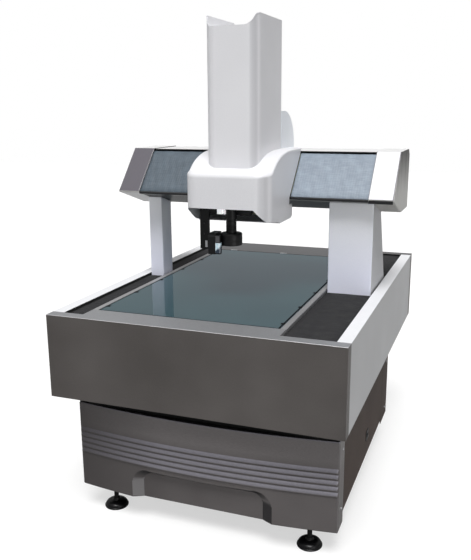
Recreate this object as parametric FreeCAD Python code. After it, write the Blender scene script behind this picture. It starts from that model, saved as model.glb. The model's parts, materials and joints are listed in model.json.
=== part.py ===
"""Gantry vision measuring machine: glass stage, moving bridge, beam carriage and optics slide.

Lengths are in millimetres. Pieces are drawn with x from the housing's middle (right is positive),
y from the housing's front face (back is positive) and z from the stage top (up is positive).
save() moves them to the part's frame, whose origin is on the floor under the middle.
"""
import FreeCAD, Part
import math
import os

from FreeCAD import Vector

# Housing around the stage
STAGE_HEIGHT = 885.0
HOUSING_WIDTH = 1180.0
HOUSING_DEPTH = 1660.0
HOUSING_HEIGHT = 337.0
SHEET = 3.0
RIM_WIDTH = 50.0
FLANGE_DEPTH = 50.0
LIP_HEIGHT = 26.0

# Glass stage and the two ways beside it
GLASS_FRONT = 128.0
GLASS_REAR_MARGIN = 226.0
GLASS_THICKNESS = 14.0
GLASS_STEP = 1.0
GLASS_GAP = 3.0
STRIP_WIDTH = 22.0
FRAME_WALL = 42.0
CLAMP_SIZE = 12.0
CLAMP_HEIGHT = 2.5
CLAMP_GAP = 0.5
CLAMP_SINK = 0.2
CLAMP_PITCH = 238.0
CLAMP_FIRST = 62.0
LAMP_HEIGHT = 40.0
LAMP_GAP = 8.0
DIFFUSER = 6.0
LEFT_WAY_WIDTH = 85.0
RIGHT_WAY_WIDTH = 201.0
WAY_DROP = 8.0
BELLOWS_THICKNESS = 14.0
BELLOWS_SIDE_GAP = 1.0
SOFT_GAP = 0.3

# Granite bed and the frame under it
BED_DROP = 130.0
BED_THICKNESS = 160.0
BED_INSET = 60.0
BRACKET_WIDTH = 50.0
BRACKET_HEIGHT = 60.0
BRACKET_RISE = 20.0
BRACKET_END = 200.0
BRACKET_SPREAD = 350.0
MOUNT_DIAMETER = 90.0
MOUNT_HEIGHT = 40.0
LEG_WIDTH = 80.0
LEG_DEPTH = 110.0
CROSS_RAIL = 80.0
TUBE_WALL = 5.0
UPPER_RAIL_OVERLAP = 5.0
LOWER_RAIL_HEIGHT = 60.0
SHELF = 6.0
BOX_WIDTH = 500.0
BOX_DEPTH = 440.0
BOX_HEIGHT = 200.0
BOX_OFFSET = 260.0
TERMINAL_WIDTH = 400.0
TERMINAL_DEPTH = 30.0
TERMINAL_HEIGHT = 70.0
TERMINAL_RISE = 40.0

# Levelling feet
FOOT_INSET = 121.0
FOOT_DIAMETER = 100.0
FOOT_EDGE = 6.0
FOOT_DOME = 38.0
FOOT_NECK = 28.0
STEM_DIAMETER = 20.0
STEM_FIT = 0.05
STEM_ENGAGEMENT = 75.0
NUT_WIDTH = 30.0
NUT_HEIGHT = 16.0

# Cabinet covers
CABINET_INSET = 43.0
CABINET_FRONT = 125.0
CABINET_DEPTH = 1115.0
CABINET_CLEARANCE = 110.0
COVER_DROP = 68.0
COVER_BOW = 40.0
FRONT_FLANGE = 82.0
REAR_FLANGE = 164.0
SIDE_PANEL_RISE = 48.0
REAR_COVER_RISE = 25.0
RIB_COUNT = 5
RIB_DROP = 109.0
RIB_PITCH = 23.5
RIB_HEIGHT = 17.0
RIB_DEPTH = 6.0
ARCH_MOUTH_WIDTH = 684.0
ARCH_MOUTH_HEIGHT = 133.0
ARCH_FLOOR_WIDTH = 510.0
ARCH_FLOOR_HEIGHT = 109.0
ARCH_LEAD = 10.0
ARCH_DEPTH = 33.0
ARCH_CORNER = 40.0
ARCH_STEPS = 4
FASTENER_DIAMETER = 12.0
FASTENER_HEIGHT = 3.0
FASTENER_FRONT = 52.0
FASTENER_REAR = 60.0
FASTENER_DROP = 50.0
FASTENER_RISE = 27.0
INLET_Y = 690.0
INLET_RISE = 144.0
INLET_WIDTH = 46.0
INLET_HEIGHT = 44.0
INLET_RIM = 5.0
INLET_PLATE = 3.0
INLET_DEPTH = 30.0
SOCKET_WIDTH = 26.0
SOCKET_HEIGHT = 18.0
SOCKET_DEPTH = 16.0
PIN_WIDTH = 2.0
PIN_HEIGHT = 6.0
PIN_LENGTH = 10.0
PIN_PITCH = 7.0

# Ways: rails, blocks, screw and motor
WAY_RAIL_WIDTH = 24.0
WAY_RAIL_HEIGHT = 26.0
WAY_RAIL_INSET = 10.0
BLOCK_WIDTH = 64.0
BLOCK_LENGTH = 92.0
BLOCK_HEIGHT = 26.0
BLOCK_ROOF = 16.0
BLOCK_INSET = 10.0
RAIL_GAP = 0.5
SADDLE = 20.0
SCREW_DIAMETER = 24.0
SCREW_FIT = 0.08
SCREW_OFFSET = 58.0
SCREW_CLEARANCE = 1.0
SCREW_INSET = 20.0
SCREW_END = 2.0
SUPPORT_LENGTH = 30.0
SUPPORT_WALL = 4.0
NUT_LENGTH = 70.0
NUT_WALL = 6.0
MOTOR_LENGTH = 110.0

# Columns
COLUMN_GAP = 6.0
COLUMN_FRAME_GAP = 5.0
LEFT_COLUMN_GAP = 12.0
RIGHT_COLUMN_FRONT = 728.0
RIGHT_COLUMN_DEPTH = 342.0
RIGHT_COLUMN_TOP_DEPTH = 185.0
LEFT_COLUMN_FRONT = 780.0
LEFT_COLUMN_DEPTH = 102.0
COLUMN_WALL = 14.0

# Beam section, as corners of its side view, and its ends
BEAM_LEFT_OVERHANG = 95.0
BEAM_RIGHT_OVERHANG = 87.0
BEAM_LOW_Y = 672.0
BEAM_CREST_Y = 842.0
BEAM_KNEE_Y = 907.0
BEAM_REAR_Y = 1095.0
BEAM_BOTTOM_Z = 330.0
BEAM_NOSE_RISE = 72.0
BEAM_SLANT_RISE = 184.0
BEAM_CORNER = 25.0
ROOF = 6.0
CAP_WIDTH = 104.0
CORE_DEPTH = 46.0
CORE_INSET = 80.0
LIP_BAND = 8.0
LIP_WRAP = 2.0
BEAM_RAIL_WIDTH = 20.0
BEAM_RAIL_HEIGHT = 14.0
BEAM_RAIL_INSET = 20.0
BEAM_RAIL_LOW = 60.0
BEAM_RAIL_PITCH = 140.0
BEAM_SCREW_DIAMETER = 16.0
BEAM_SCREW_RISE = 15.0
BEAM_SUPPORT_LENGTH = 20.0
BEAM_SUPPORT_WIDTH = 40.0
BEAM_MOTOR_SIZE = 50.0
BEAM_MOTOR_LENGTH = 60.0
BEAM_BELLOWS_LOW = 8.0
BEAM_BELLOWS_HIGH = 6.0
BEAM_BELLOWS_INSET = 4.0

# Head, tower and rear covers
HEAD_MIDDLE = 10.0
HEAD_WIDTH = 356.0
HEAD_FRONT = 370.0
HEAD_CORNER = 60.0
HEAD_SWEEP_RISE = 73.0
HEAD_SWEEP_START = 40.0
HEAD_SWEEP_END = 130.0
HEAD_MOUTH_DROP = 18.0
MOUTH_STEPS = 10
MOUTH_LEDGE = 26.0
EAR_FRONT = 526.0
EAR_REAR = 706.0
EAR_DROP = 16.0
BEAM_CLEARANCE = 6.0
COVER_WALL = 3.0
TOWER_WIDTH = 220.0
TOWER_FRONT = 445.0
TOWER_DEPTH = 322.0
TOWER_HEADROOM = 85.0
TOWER_CORNER = 45.0
NOTCH_DEPTH = 44.0
NOTCH_LEFT = ((8, 0.2), (10, -0.2), (16, -0.8), (26, -1.0))
NOTCH_RIGHT = ((50, -1.0), (30, -0.84), (18, -0.55), (6, -0.05), (3, 0.2))
HUMP_DEPTH = 193.0
HUMP_HEIGHT = 164.0
HUMP_CROWN = 20.0

# Carriage on the beam
CARRIAGE_PLATE = 16.0
PLATE_LOW = 24.0
PLATE_HIGH = 12.0
CARRIAGE_BLOCK_LENGTH = 70.0
CARRIAGE_BLOCK_WIDTH = 48.0
CARRIAGE_BLOCK_INSET = 10.0
BED_CLEARANCE = 3.0
CARRIAGE_NUT_LENGTH = 50.0
CARRIAGE_NUT_WIDTH = 36.0
SPINE_FRONT = 536.0
SPINE_RISE = 31.0
SPINE_HEIGHT = 620.0
SPINE_WIDTH = 180.0
ARM_HEIGHT = 40.0
HEAD_ARM_RISE = 90.0
TOWER_ARM_DROP = 110.0

# Tower drive
TOWER_RAIL_WIDTH = 15.0
TOWER_RAIL_HEIGHT = 12.0
TOWER_RAIL_SPACING = 110.0
TOWER_RAIL_LOW = 5.0
TOWER_RAIL_HIGH = 90.0
TOWER_SCREW_DIAMETER = 12.0
TOWER_SCREW_DEPTH = 14.0
TOWER_SUPPORT_WIDTH = 36.0
TOWER_SUPPORT_HEIGHT = 20.0
TOWER_SUPPORT_WALL = 7.0
TOWER_MOTOR_SIZE = 56.0
TOWER_MOTOR_LENGTH = 70.0

# Optics slide and what it carries
SLIDE_PLATE = 14.0
SLIDE_STANDOFF = 16.0
SLIDE_WIDTH = 130.0
SLIDE_HEIGHT = 415.0
SLIDE_BLOCK_WIDTH = 34.0
SLIDE_BLOCK_HEIGHT = 60.0
SLIDE_BLOCK_LOW = 155.0
SLIDE_BLOCK_HIGH = 80.0
SLIDE_NUT_RISE = 260.0
SLIDE_NUT_WIDTH = 32.0
SLIDE_NUT_HEIGHT = 30.0
OPTICS_X = 0.0
OPTICS_STANDOFF = 24.0
BARREL_DIAMETER = 43.0
BARREL_DROP = 105.0
BARREL_LENGTH = 320.0
BARREL_FIT = 0.1
LENS_BRACKET_WALL = 4.0
LENS_BRACKET_HEIGHT = 30.0
LENS_BRACKET_LOW = 20.0
LENS_BRACKET_HIGH = 155.0
CAMERA_SIZE = 40.0
CAMERA_HEIGHT = 62.0
RING_DIAMETER = 90.0
RING_DROP = 14.0
RING_HEIGHT = 50.0
RING_BOWL = 30.0
RING_WALL = 10.0
PROBE_LEFT = -144.0
PROBE_ARM_WIDTH = 40.0
PROBE_ARM_DEPTH = 12.0
PROBE_DROP = 153.0
PROBE_TIE_HEIGHT = 40.0
PROBE_WIDTH = 32.0
PROBE_DEPTH = 70.0
PROBE_HEIGHT = 86.0
PROBE_CORNER = 13.0
PROBE_BACKING = 20.0
SNOUT_HEIGHT = 76.0
SNOUT_WIDTH = 22.0
RING_GAP = 3.0
WINDOW_EDGE = 2.0
WINDOW_THICKNESS = 2.5
WINDOW_HEIGHT = 30.0
FACE_HEIGHT = 32.0
SOCKET_BLOCK_LEFT = 12.0
SOCKET_BLOCK_WIDTHS = (23.0, 7.0)
SOCKET_BLOCK_GAP = 5.0
SOCKET_BLOCK_HEIGHT = 26.0

# Places that follow from the sizes above
HALF_WIDTH = HOUSING_WIDTH / 2
WAY_LEFT_OUTER = -HALF_WIDTH + RIM_WIDTH
WAY_RIGHT_OUTER = HALF_WIDTH - RIM_WIDTH
FRAME_LEFT = WAY_LEFT_OUTER + LEFT_WAY_WIDTH
FRAME_RIGHT = WAY_RIGHT_OUTER - RIGHT_WAY_WIDTH
FRAME_TOP = -GLASS_STEP - GLASS_THICKNESS
GLASS_LEFT = FRAME_LEFT + STRIP_WIDTH + GLASS_GAP
GLASS_RIGHT = FRAME_RIGHT - STRIP_WIDTH - GLASS_GAP
GLASS_REAR = HOUSING_DEPTH - GLASS_REAR_MARGIN
BED_TOP = -BED_DROP
BED_BOTTOM = BED_TOP - BED_THICKNESS
BED_HALF = HALF_WIDTH - BED_INSET
BED_REAR = HOUSING_DEPTH - BED_INSET
FRAME_UPPER = BED_BOTTOM - MOUNT_HEIGHT
FLOOR = -STAGE_HEIGHT
CABINET_BOTTOM = FLOOR + CABINET_CLEARANCE
CABINET_HALF = HALF_WIDTH - CABINET_INSET
CABINET_REAR = CABINET_FRONT + CABINET_DEPTH
COVER_TOP = -HOUSING_HEIGHT - COVER_DROP
SIDE_BOTTOM = CABINET_BOTTOM + SIDE_PANEL_RISE
REAR_BOTTOM = CABINET_BOTTOM + REAR_COVER_RISE
INLET_Z = CABINET_BOTTOM + INLET_RISE
FOOT_X = CABINET_HALF - FOOT_INSET
LEG_FRONT = CABINET_FRONT + SHEET
LEG_REAR = CABINET_REAR - SHEET
FOOT_FRONT_Y = LEG_FRONT + LEG_DEPTH / 2
FOOT_REAR_Y = LEG_REAR - LEG_DEPTH / 2
RAIL_TOP = BED_TOP + WAY_RAIL_HEIGHT
BLOCK_TOP = RAIL_TOP + RAIL_GAP + BLOCK_ROOF
BLOCK_BOTTOM = BLOCK_TOP - BLOCK_HEIGHT
COLUMN_FOOT = BLOCK_TOP + SADDLE
RIGHT_COLUMN_LEFT = FRAME_RIGHT + COLUMN_FRAME_GAP
RIGHT_COLUMN_RIGHT = WAY_RIGHT_OUTER - COLUMN_GAP
RIGHT_COLUMN_REAR = RIGHT_COLUMN_FRONT + RIGHT_COLUMN_DEPTH
RIGHT_COLUMN_TOP_REAR = RIGHT_COLUMN_FRONT + RIGHT_COLUMN_TOP_DEPTH
LEFT_COLUMN_LEFT = WAY_LEFT_OUTER + COLUMN_GAP
LEFT_COLUMN_RIGHT = FRAME_LEFT - LEFT_COLUMN_GAP
LEFT_COLUMN_REAR = LEFT_COLUMN_FRONT + LEFT_COLUMN_DEPTH
RIGHT_RAIL_X = (RIGHT_COLUMN_LEFT + RIGHT_COLUMN_RIGHT) / 2
LEFT_RAIL_X = (LEFT_COLUMN_LEFT + LEFT_COLUMN_RIGHT) / 2
WAY_SCREW_X = RIGHT_RAIL_X - SCREW_OFFSET
WAY_SCREW_Z = BLOCK_TOP - SCREW_CLEARANCE - SCREW_DIAMETER / 2
BEAM_LOW_Z = BEAM_BOTTOM_Z + BEAM_NOSE_RISE
BEAM_TOP_Z = BEAM_LOW_Z + BEAM_SLANT_RISE
BEAM_LEFT = LEFT_COLUMN_LEFT - BEAM_LEFT_OVERHANG
BEAM_RIGHT = RIGHT_COLUMN_RIGHT + BEAM_RIGHT_OVERHANG
SLANT = math.atan2(BEAM_SLANT_RISE, BEAM_CREST_Y - BEAM_LOW_Y)
SLANT_LENGTH = math.hypot(BEAM_SLANT_RISE, BEAM_CREST_Y - BEAM_LOW_Y)
CORE_LEFT = BEAM_LEFT + CORE_INSET
CORE_RIGHT = BEAM_RIGHT - CORE_INSET
CORE_TOP = BEAM_TOP_Z - ROOF
CORE_REAR = BEAM_REAR_Y - ROOF
BEAM_RAIL_HIGH = BEAM_RAIL_LOW + BEAM_RAIL_PITCH
BEAM_SCREW_S = (BEAM_RAIL_LOW + BEAM_RAIL_HIGH) / 2
BEAM_SCREW_T = -CORE_DEPTH + BEAM_SCREW_RISE
PLATE_OUTER_T = -SHEET - 1.0
PLATE_INNER_T = PLATE_OUTER_T - CARRIAGE_PLATE
HEAD_LEFT = HEAD_MIDDLE - HEAD_WIDTH / 2
HEAD_RIGHT = HEAD_MIDDLE + HEAD_WIDTH / 2
HEAD_REAR_TOP = BEAM_TOP_Z + BEAM_CLEARANCE
HEAD_FRONT_TOP = HEAD_REAR_TOP - HEAD_SWEEP_RISE
HEAD_MOUTH = BEAM_LOW_Z - HEAD_MOUTH_DROP
EAR_BOTTOM = BEAM_BOTTOM_Z - EAR_DROP
TOWER_LEFT = HEAD_MIDDLE - TOWER_WIDTH / 2
TOWER_RIGHT = HEAD_MIDDLE + TOWER_WIDTH / 2
TOWER_REAR = TOWER_FRONT + TOWER_DEPTH
SPINE_BACK = SPINE_FRONT + CARRIAGE_PLATE
SPINE_BOTTOM = EAR_BOTTOM + SPINE_RISE
SPINE_TOP = SPINE_BOTTOM + SPINE_HEIGHT
TOWER_TOP = SPINE_TOP + TOWER_MOTOR_LENGTH + TOWER_HEADROOM
TOWER_FLOOR = TOWER_TOP - NOTCH_DEPTH
SLIDE_BACK = SPINE_FRONT - TOWER_RAIL_HEIGHT - SLIDE_STANDOFF
SLIDE_FRONT = SLIDE_BACK - SLIDE_PLATE
SLIDE_LEFT = HEAD_MIDDLE - SLIDE_WIDTH / 2
SLIDE_RIGHT = HEAD_MIDDLE + SLIDE_WIDTH / 2
SLIDE_BOTTOM = SPINE_BOTTOM
SLIDE_TOP = SLIDE_BOTTOM + SLIDE_HEIGHT
TOWER_SCREW_Y = SPINE_FRONT - TOWER_SCREW_DEPTH
OPTICS_Y = SLIDE_FRONT - OPTICS_STANDOFF
BARREL_BOTTOM = SLIDE_BOTTOM - BARREL_DROP
BARREL_TOP = BARREL_BOTTOM + BARREL_LENGTH
RING_BOTTOM = BARREL_BOTTOM - RING_DROP
PROBE_BOTTOM = SLIDE_BOTTOM - PROBE_DROP

UP = Vector(0, 0, 1)
BACK = Vector(0, 1, 0)
RIGHT = Vector(1, 0, 0)
OVERRUN = 1.0


# Helpers

def block(x0, x1, y0, y1, z0, z1):
    """Box between two corners."""
    return Part.makeBox(x1 - x0, y1 - y0, z1 - z0, Vector(x0, y0, z0))


def rod(x, y, z, radius, length, direction):
    """Cylinder that starts at a point and runs along a direction."""
    return Part.makeCylinder(radius, length, Vector(x, y, z), direction)


def hole(x, y, z, radius, length, direction):
    """Cutter for a through hole, run past both faces."""
    start = Vector(x, y, z) - direction * OVERRUN
    return Part.makeCylinder(radius, length + 2 * OVERRUN, start, direction)


def side_prism(points, x0, x1):
    """Prism of a side view, given as (y, z) corners, between two x values."""
    corners = [Vector(x0, y, z) for y, z in points]
    face = Part.Face(Part.makePolygon(corners + corners[:1]))
    return face.extrude(Vector(x1 - x0, 0, 0))


def front_prism(points, y0, y1):
    """Prism of a front view, given as (x, z) corners, between two y values."""
    corners = [Vector(x, y0, z) for x, z in points]
    face = Part.Face(Part.makePolygon(corners + corners[:1]))
    return face.extrude(Vector(0, y1 - y0, 0))


def tube(x0, x1, y0, y1, z0, z1, direction):
    """Square tube between two corners, open at both ends along a direction."""
    wall = Vector(TUBE_WALL, TUBE_WALL, TUBE_WALL)
    past = direction * (TUBE_WALL + OVERRUN)
    low = Vector(x0, y0, z0) + wall - past
    high = Vector(x1, y1, z1) - wall + past
    return block(x0, x1, y0, y1, z0, z1).cut(block(low.x, high.x, low.y, high.y, low.z, high.z))


def slanted(x0, x1, s0, s1, t0, t1):
    """Box on the beam's slanted front: s runs up the slant, t stands out of it."""
    piece = block(x0, x1, s0, s1, t0, t1)
    turn = FreeCAD.Rotation(RIGHT, math.degrees(SLANT))
    piece.Placement = FreeCAD.Placement(Vector(0, BEAM_LOW_Y, BEAM_LOW_Z), turn)
    return piece


def slant_point(s, t):
    """Side-view place (y, z) of a point on the slanted front."""
    y = BEAM_LOW_Y + s * math.cos(SLANT) - t * math.sin(SLANT)
    z = BEAM_LOW_Z + s * math.sin(SLANT) + t * math.cos(SLANT)
    return y, z


def slant_y(z, t):
    """Depth of the slanted front, moved out by t, at a height."""
    return BEAM_LOW_Y + (z - BEAM_LOW_Z) / math.tan(SLANT) - t / math.sin(SLANT)


def slant_rod(x0, x1, s, t, radius):
    """Cylinder along x at a point of the slanted front."""
    y, z = slant_point(s, t)
    return rod(x0, y, z, radius, x1 - x0, RIGHT)


def knee_height(y):
    """Height of the beam's underside at a depth."""
    if y >= BEAM_KNEE_Y:
        return BEAM_BOTTOM_Z
    share = (y - BEAM_LOW_Y) / (BEAM_KNEE_Y - BEAM_LOW_Y)
    return BEAM_LOW_Z + (BEAM_BOTTOM_Z - BEAM_LOW_Z) * share


def rounded_plan(left, right, front, rear, radius, z0, z1):
    """Upright prism with rounded front corners."""
    bend = radius * (1 - math.sqrt(0.5))
    edges = [
        Part.makeLine(Vector(left, rear, z0), Vector(left, front + radius, z0)),
        Part.Arc(Vector(left, front + radius, z0), Vector(left + bend, front + bend, z0),
                 Vector(left + radius, front, z0)).toShape(),
        Part.makeLine(Vector(left + radius, front, z0), Vector(right - radius, front, z0)),
        Part.Arc(Vector(right - radius, front, z0), Vector(right - bend, front + bend, z0),
                 Vector(right, front + radius, z0)).toShape(),
        Part.makeLine(Vector(right, front + radius, z0), Vector(right, rear, z0)),
        Part.makeLine(Vector(right, rear, z0), Vector(left, rear, z0))]
    return Part.Face(Part.Wire(edges)).extrude(Vector(0, 0, z1 - z0))


def fuse(shapes):
    """One solid made of several that touch or overlap."""
    whole = shapes[0]
    for shape in shapes[1:]:
        whole = whole.fuse(shape)
    return whole.removeSplitter()


def save(name, *solids):
    """Write one node, moved to the part's frame."""
    group = []
    for solid in solids:
        moved = solid.copy()
        moved.translate(Vector(0, -HOUSING_DEPTH / 2, STAGE_HEIGHT))
        group.append(moved)
    shape = group[0] if len(group) == 1 else Part.makeCompound(group)
    shape.exportStep("parts/" + name + ".step")


# Base: frame, bed and ways

def make_frame():
    """Legs, rails between them, shelf, and the brackets that hold the housing on the bed."""
    pieces = []
    hole_depth = STEM_ENGAGEMENT + FOOT_EDGE
    for x in (-FOOT_X, FOOT_X):
        for y in (FOOT_FRONT_Y, FOOT_REAR_Y):
            leg = block(x - LEG_WIDTH / 2, x + LEG_WIDTH / 2, y - LEG_DEPTH / 2, y + LEG_DEPTH / 2,
                        CABINET_BOTTOM, FRAME_UPPER)
            thread = rod(x, y, CABINET_BOTTOM, STEM_DIAMETER / 2 + STEM_FIT, hole_depth, UP)
            pieces.append(leg.cut(thread))
    leg_outer = FOOT_X + LEG_WIDTH / 2
    leg_inner = FOOT_X - LEG_WIDTH / 2
    skin = CABINET_HALF - SHEET
    lower = SIDE_BOTTOM + SHEET
    shelf_z = lower + LOWER_RAIL_HEIGHT
    for low, high in ((COVER_TOP - UPPER_RAIL_OVERLAP, FRAME_UPPER), (lower, shelf_z)):
        pieces.append(tube(-skin, -leg_outer, LEG_FRONT, LEG_REAR, low, high, BACK))
        pieces.append(tube(leg_outer, skin, LEG_FRONT, LEG_REAR, low, high, BACK))
        pieces.append(tube(-leg_inner, leg_inner, LEG_FRONT, LEG_FRONT + CROSS_RAIL, low, high, RIGHT))
        pieces.append(tube(-leg_inner, leg_inner, LEG_REAR - CROSS_RAIL, LEG_REAR, low, high, RIGHT))
    pieces.append(block(-leg_inner, leg_inner, LEG_FRONT, LEG_REAR, shelf_z, shelf_z + SHELF))
    save("frame", *(pieces + panel_brackets()))
    box_z = shelf_z + SHELF
    box_y = LEG_FRONT + BOX_OFFSET
    case = block(-BOX_WIDTH / 2, BOX_WIDTH / 2, box_y, box_y + BOX_DEPTH, box_z, box_z + BOX_HEIGHT)
    terminal_z = box_z + TERMINAL_RISE
    terminals = block(-TERMINAL_WIDTH / 2, TERMINAL_WIDTH / 2, box_y - TERMINAL_DEPTH, box_y,
                      terminal_z, terminal_z + TERMINAL_HEIGHT)
    save("control_box", case, terminals)


def panel_brackets():
    """Brackets between the bed's edges and the four housing panels."""
    low = BED_BOTTOM + BRACKET_RISE
    high = low + BRACKET_HEIGHT
    half = BRACKET_WIDTH / 2
    outer = HALF_WIDTH - SHEET
    brackets = []
    for y in (BRACKET_END, HOUSING_DEPTH / 2, HOUSING_DEPTH - BRACKET_END):
        brackets.append(block(-outer, -BED_HALF, y - half, y + half, low, high))
        brackets.append(block(BED_HALF, outer, y - half, y + half, low, high))
    for x in (-BRACKET_SPREAD, 0, BRACKET_SPREAD):
        brackets.append(block(x - half, x + half, SHEET, BED_INSET, low, high))
        brackets.append(block(x - half, x + half, BED_REAR, HOUSING_DEPTH - SHEET, low, high))
    return brackets


def make_bed():
    """Granite bed on its round rubber mounts, and the two guide rails on it."""
    mounts = []
    for x in (-FOOT_X, FOOT_X):
        for y in (FOOT_FRONT_Y, FOOT_REAR_Y):
            mounts.append(rod(x, y, FRAME_UPPER, MOUNT_DIAMETER / 2, MOUNT_HEIGHT, UP))
    save("isolation_mounts", *mounts)
    save("granite_bed", block(-BED_HALF, BED_HALF, BED_INSET, BED_REAR, BED_BOTTOM, BED_TOP))
    rails = []
    half = WAY_RAIL_WIDTH / 2
    start = BED_INSET + WAY_RAIL_INSET
    end = BED_REAR - WAY_RAIL_INSET
    for x in (LEFT_RAIL_X, RIGHT_RAIL_X):
        rails.append(block(x - half, x + half, start, end, BED_TOP, RAIL_TOP))
    save("way_rails", *rails)


def make_way_drive():
    """Ball screw beside the right rail, with its two bearing blocks and its motor."""
    front = BED_INSET + SCREW_INSET
    rear = BED_REAR - SCREW_INSET - MOTOR_LENGTH
    radius = SCREW_DIAMETER / 2
    half = radius + SUPPORT_WALL
    pieces = []
    for y in (front, rear - SUPPORT_LENGTH):
        support = block(WAY_SCREW_X - half, WAY_SCREW_X + half, y, y + SUPPORT_LENGTH, BED_TOP, WAY_SCREW_Z + half)
        bore = hole(WAY_SCREW_X, y, WAY_SCREW_Z, radius + SCREW_FIT, SUPPORT_LENGTH, BACK)
        pieces.append(support.cut(bore))
    half_motor = WAY_SCREW_Z - BED_TOP
    pieces.append(block(WAY_SCREW_X - half_motor, WAY_SCREW_X + half_motor, rear, rear + MOTOR_LENGTH,
                        BED_TOP, BED_TOP + 2 * half_motor))
    save("way_drive", *pieces)
    start = front + SCREW_END
    save("way_screw", rod(WAY_SCREW_X, start, WAY_SCREW_Z, radius, rear - SCREW_END - start, BACK))


def make_feet():
    """Four levelling feet, each a domed pad on a threaded stem."""
    places = (("front_left_foot", -FOOT_X, FOOT_FRONT_Y), ("front_right_foot", FOOT_X, FOOT_FRONT_Y),
              ("rear_left_foot", -FOOT_X, FOOT_REAR_Y), ("rear_right_foot", FOOT_X, FOOT_REAR_Y))
    radius = FOOT_DIAMETER / 2
    neck = FOOT_NECK / 2
    rise = FOOT_DOME - FOOT_EDGE
    for name, x, y in places:
        centre = Vector(0, 0, 0)
        rim = Vector(radius, 0, 0)
        edge = Vector(radius, 0, FOOT_EDGE)
        bulge = Vector(neck + (radius - neck) * 0.74, 0, FOOT_EDGE + rise * 0.68)
        shoulder = Vector(neck, 0, FOOT_DOME)
        crown = Vector(0, 0, FOOT_DOME)
        edges = [Part.makeLine(centre, rim), Part.makeLine(rim, edge), Part.Arc(edge, bulge, shoulder).toShape(),
                 Part.makeLine(shoulder, crown), Part.makeLine(crown, centre)]
        dome = Part.Face(Part.Wire(edges)).revolve(centre, UP, 360)
        dome.translate(Vector(x, y, FLOOR))
        stem_length = CABINET_CLEARANCE + STEM_ENGAGEMENT - FOOT_DOME
        stem = rod(x, y, FLOOR + FOOT_DOME, STEM_DIAMETER / 2, stem_length, UP)
        save(name, fuse([dome, stem]))


def hexagon(x, y, z):
    """Hexagonal lock nut around a stem."""
    corner = NUT_WIDTH / 2 / math.cos(math.radians(30))
    points = []
    for turn in range(6):
        angle = math.radians(60 * turn)
        points.append(Vector(x + corner * math.cos(angle), y + corner * math.sin(angle), z))
    nut = Part.Face(Part.makePolygon(points + points[:1])).extrude(Vector(0, 0, NUT_HEIGHT))
    return nut.cut(hole(x, y, z, STEM_DIAMETER / 2 + STEM_FIT, NUT_HEIGHT, UP))


# Cabinet covers

def bowed_slab(offset, z0, z1, rear):
    """Prism behind the bowed front line, moved inward by an offset, up to a straight rear."""
    half = CABINET_HALF - offset
    front = CABINET_FRONT + offset
    left = Vector(-half, front, z0)
    right = Vector(half, front, z0)
    middle = Vector(0, front - COVER_BOW, z0)
    rear_left = Vector(-half, rear, z0)
    rear_right = Vector(half, rear, z0)
    edges = [Part.Arc(left, middle, right).toShape(), Part.makeLine(right, rear_right),
             Part.makeLine(rear_right, rear_left), Part.makeLine(rear_left, left)]
    return Part.Face(Part.Wire(edges)).extrude(Vector(0, 0, z1 - z0))


def arch_outline(half, high, y):
    """Arch seen from the front, with rounded upper corners, as a closed polygon."""
    low = CABINET_BOTTOM - ARCH_CORNER
    corner = []
    for step in range(ARCH_STEPS + 1):
        angle = math.pi / 2 * step / ARCH_STEPS
        corner.append((half - ARCH_CORNER * (1 - math.cos(angle)), high - ARCH_CORNER * (1 - math.sin(angle))))
    points = [Vector(-half, y, low)]
    points += [Vector(-x, y, z) for x, z in corner]
    points += [Vector(x, y, z) for x, z in reversed(corner)]
    points.append(Vector(half, y, low))
    return Part.makePolygon(points + points[:1])


def arch_cutter(grow):
    """Splayed arch that narrows towards its floor, grown by a wall."""
    mouth_y = CABINET_FRONT - COVER_BOW - ARCH_LEAD + grow
    floor_y = CABINET_FRONT - COVER_BOW + ARCH_DEPTH + grow
    mouth = arch_outline(ARCH_MOUTH_WIDTH / 2 + grow, CABINET_BOTTOM + ARCH_MOUTH_HEIGHT + grow, mouth_y)
    floor = arch_outline(ARCH_FLOOR_WIDTH / 2 + grow, CABINET_BOTTOM + ARCH_FLOOR_HEIGHT + grow, floor_y)
    return Part.makeLoft([mouth, floor], True, True)


def make_front_cover():
    """Bowed front cover with ribs and a shallow arch."""
    rear = CABINET_FRONT + FRONT_FLANGE
    outer = bowed_slab(0, CABINET_BOTTOM, COVER_TOP, rear)
    inner = bowed_slab(SHEET, CABINET_BOTTOM - OVERRUN, COVER_TOP + OVERRUN, rear + OVERRUN)
    cover = outer.cut(arch_cutter(0)).cut(inner.cut(arch_cutter(SHEET)))
    sides = block(-CABINET_HALF, CABINET_HALF, 0, CABINET_FRONT + SHEET, CABINET_BOTTOM, COVER_TOP)
    for index in range(RIB_COUNT):
        top = COVER_TOP - RIB_DROP - index * RIB_PITCH
        rib = bowed_slab(-RIB_DEPTH, top - RIB_HEIGHT, top, CABINET_FRONT + SHEET).common(sides)
        cover = cover.fuse(rib.cut(bowed_slab(SHEET, top - RIB_HEIGHT, top, rear)))
    save("cabinet_front_cover", cover.removeSplitter())


def make_other_covers():
    """Rear cover and side panels of the cabinet."""
    front = CABINET_REAR - REAR_FLANGE
    outer = block(-CABINET_HALF, CABINET_HALF, front, CABINET_REAR, REAR_BOTTOM, COVER_TOP)
    inner = block(-CABINET_HALF + SHEET, CABINET_HALF - SHEET, front - OVERRUN, CABINET_REAR - SHEET,
                  REAR_BOTTOM - OVERRUN, COVER_TOP + OVERRUN)
    save("cabinet_rear_cover", outer.cut(inner))
    side_front = CABINET_FRONT + FRONT_FLANGE
    inside = CABINET_HALF - SHEET
    save("cabinet_left_panel", block(-CABINET_HALF, -inside, side_front, front, SIDE_BOTTOM, COVER_TOP))
    panel = block(inside, CABINET_HALF, side_front, front, SIDE_BOTTOM, COVER_TOP)
    save("cabinet_right_panel", panel.cut(inlet_block(inside - OVERRUN, CABINET_HALF + OVERRUN, INLET_RIM)))


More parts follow.
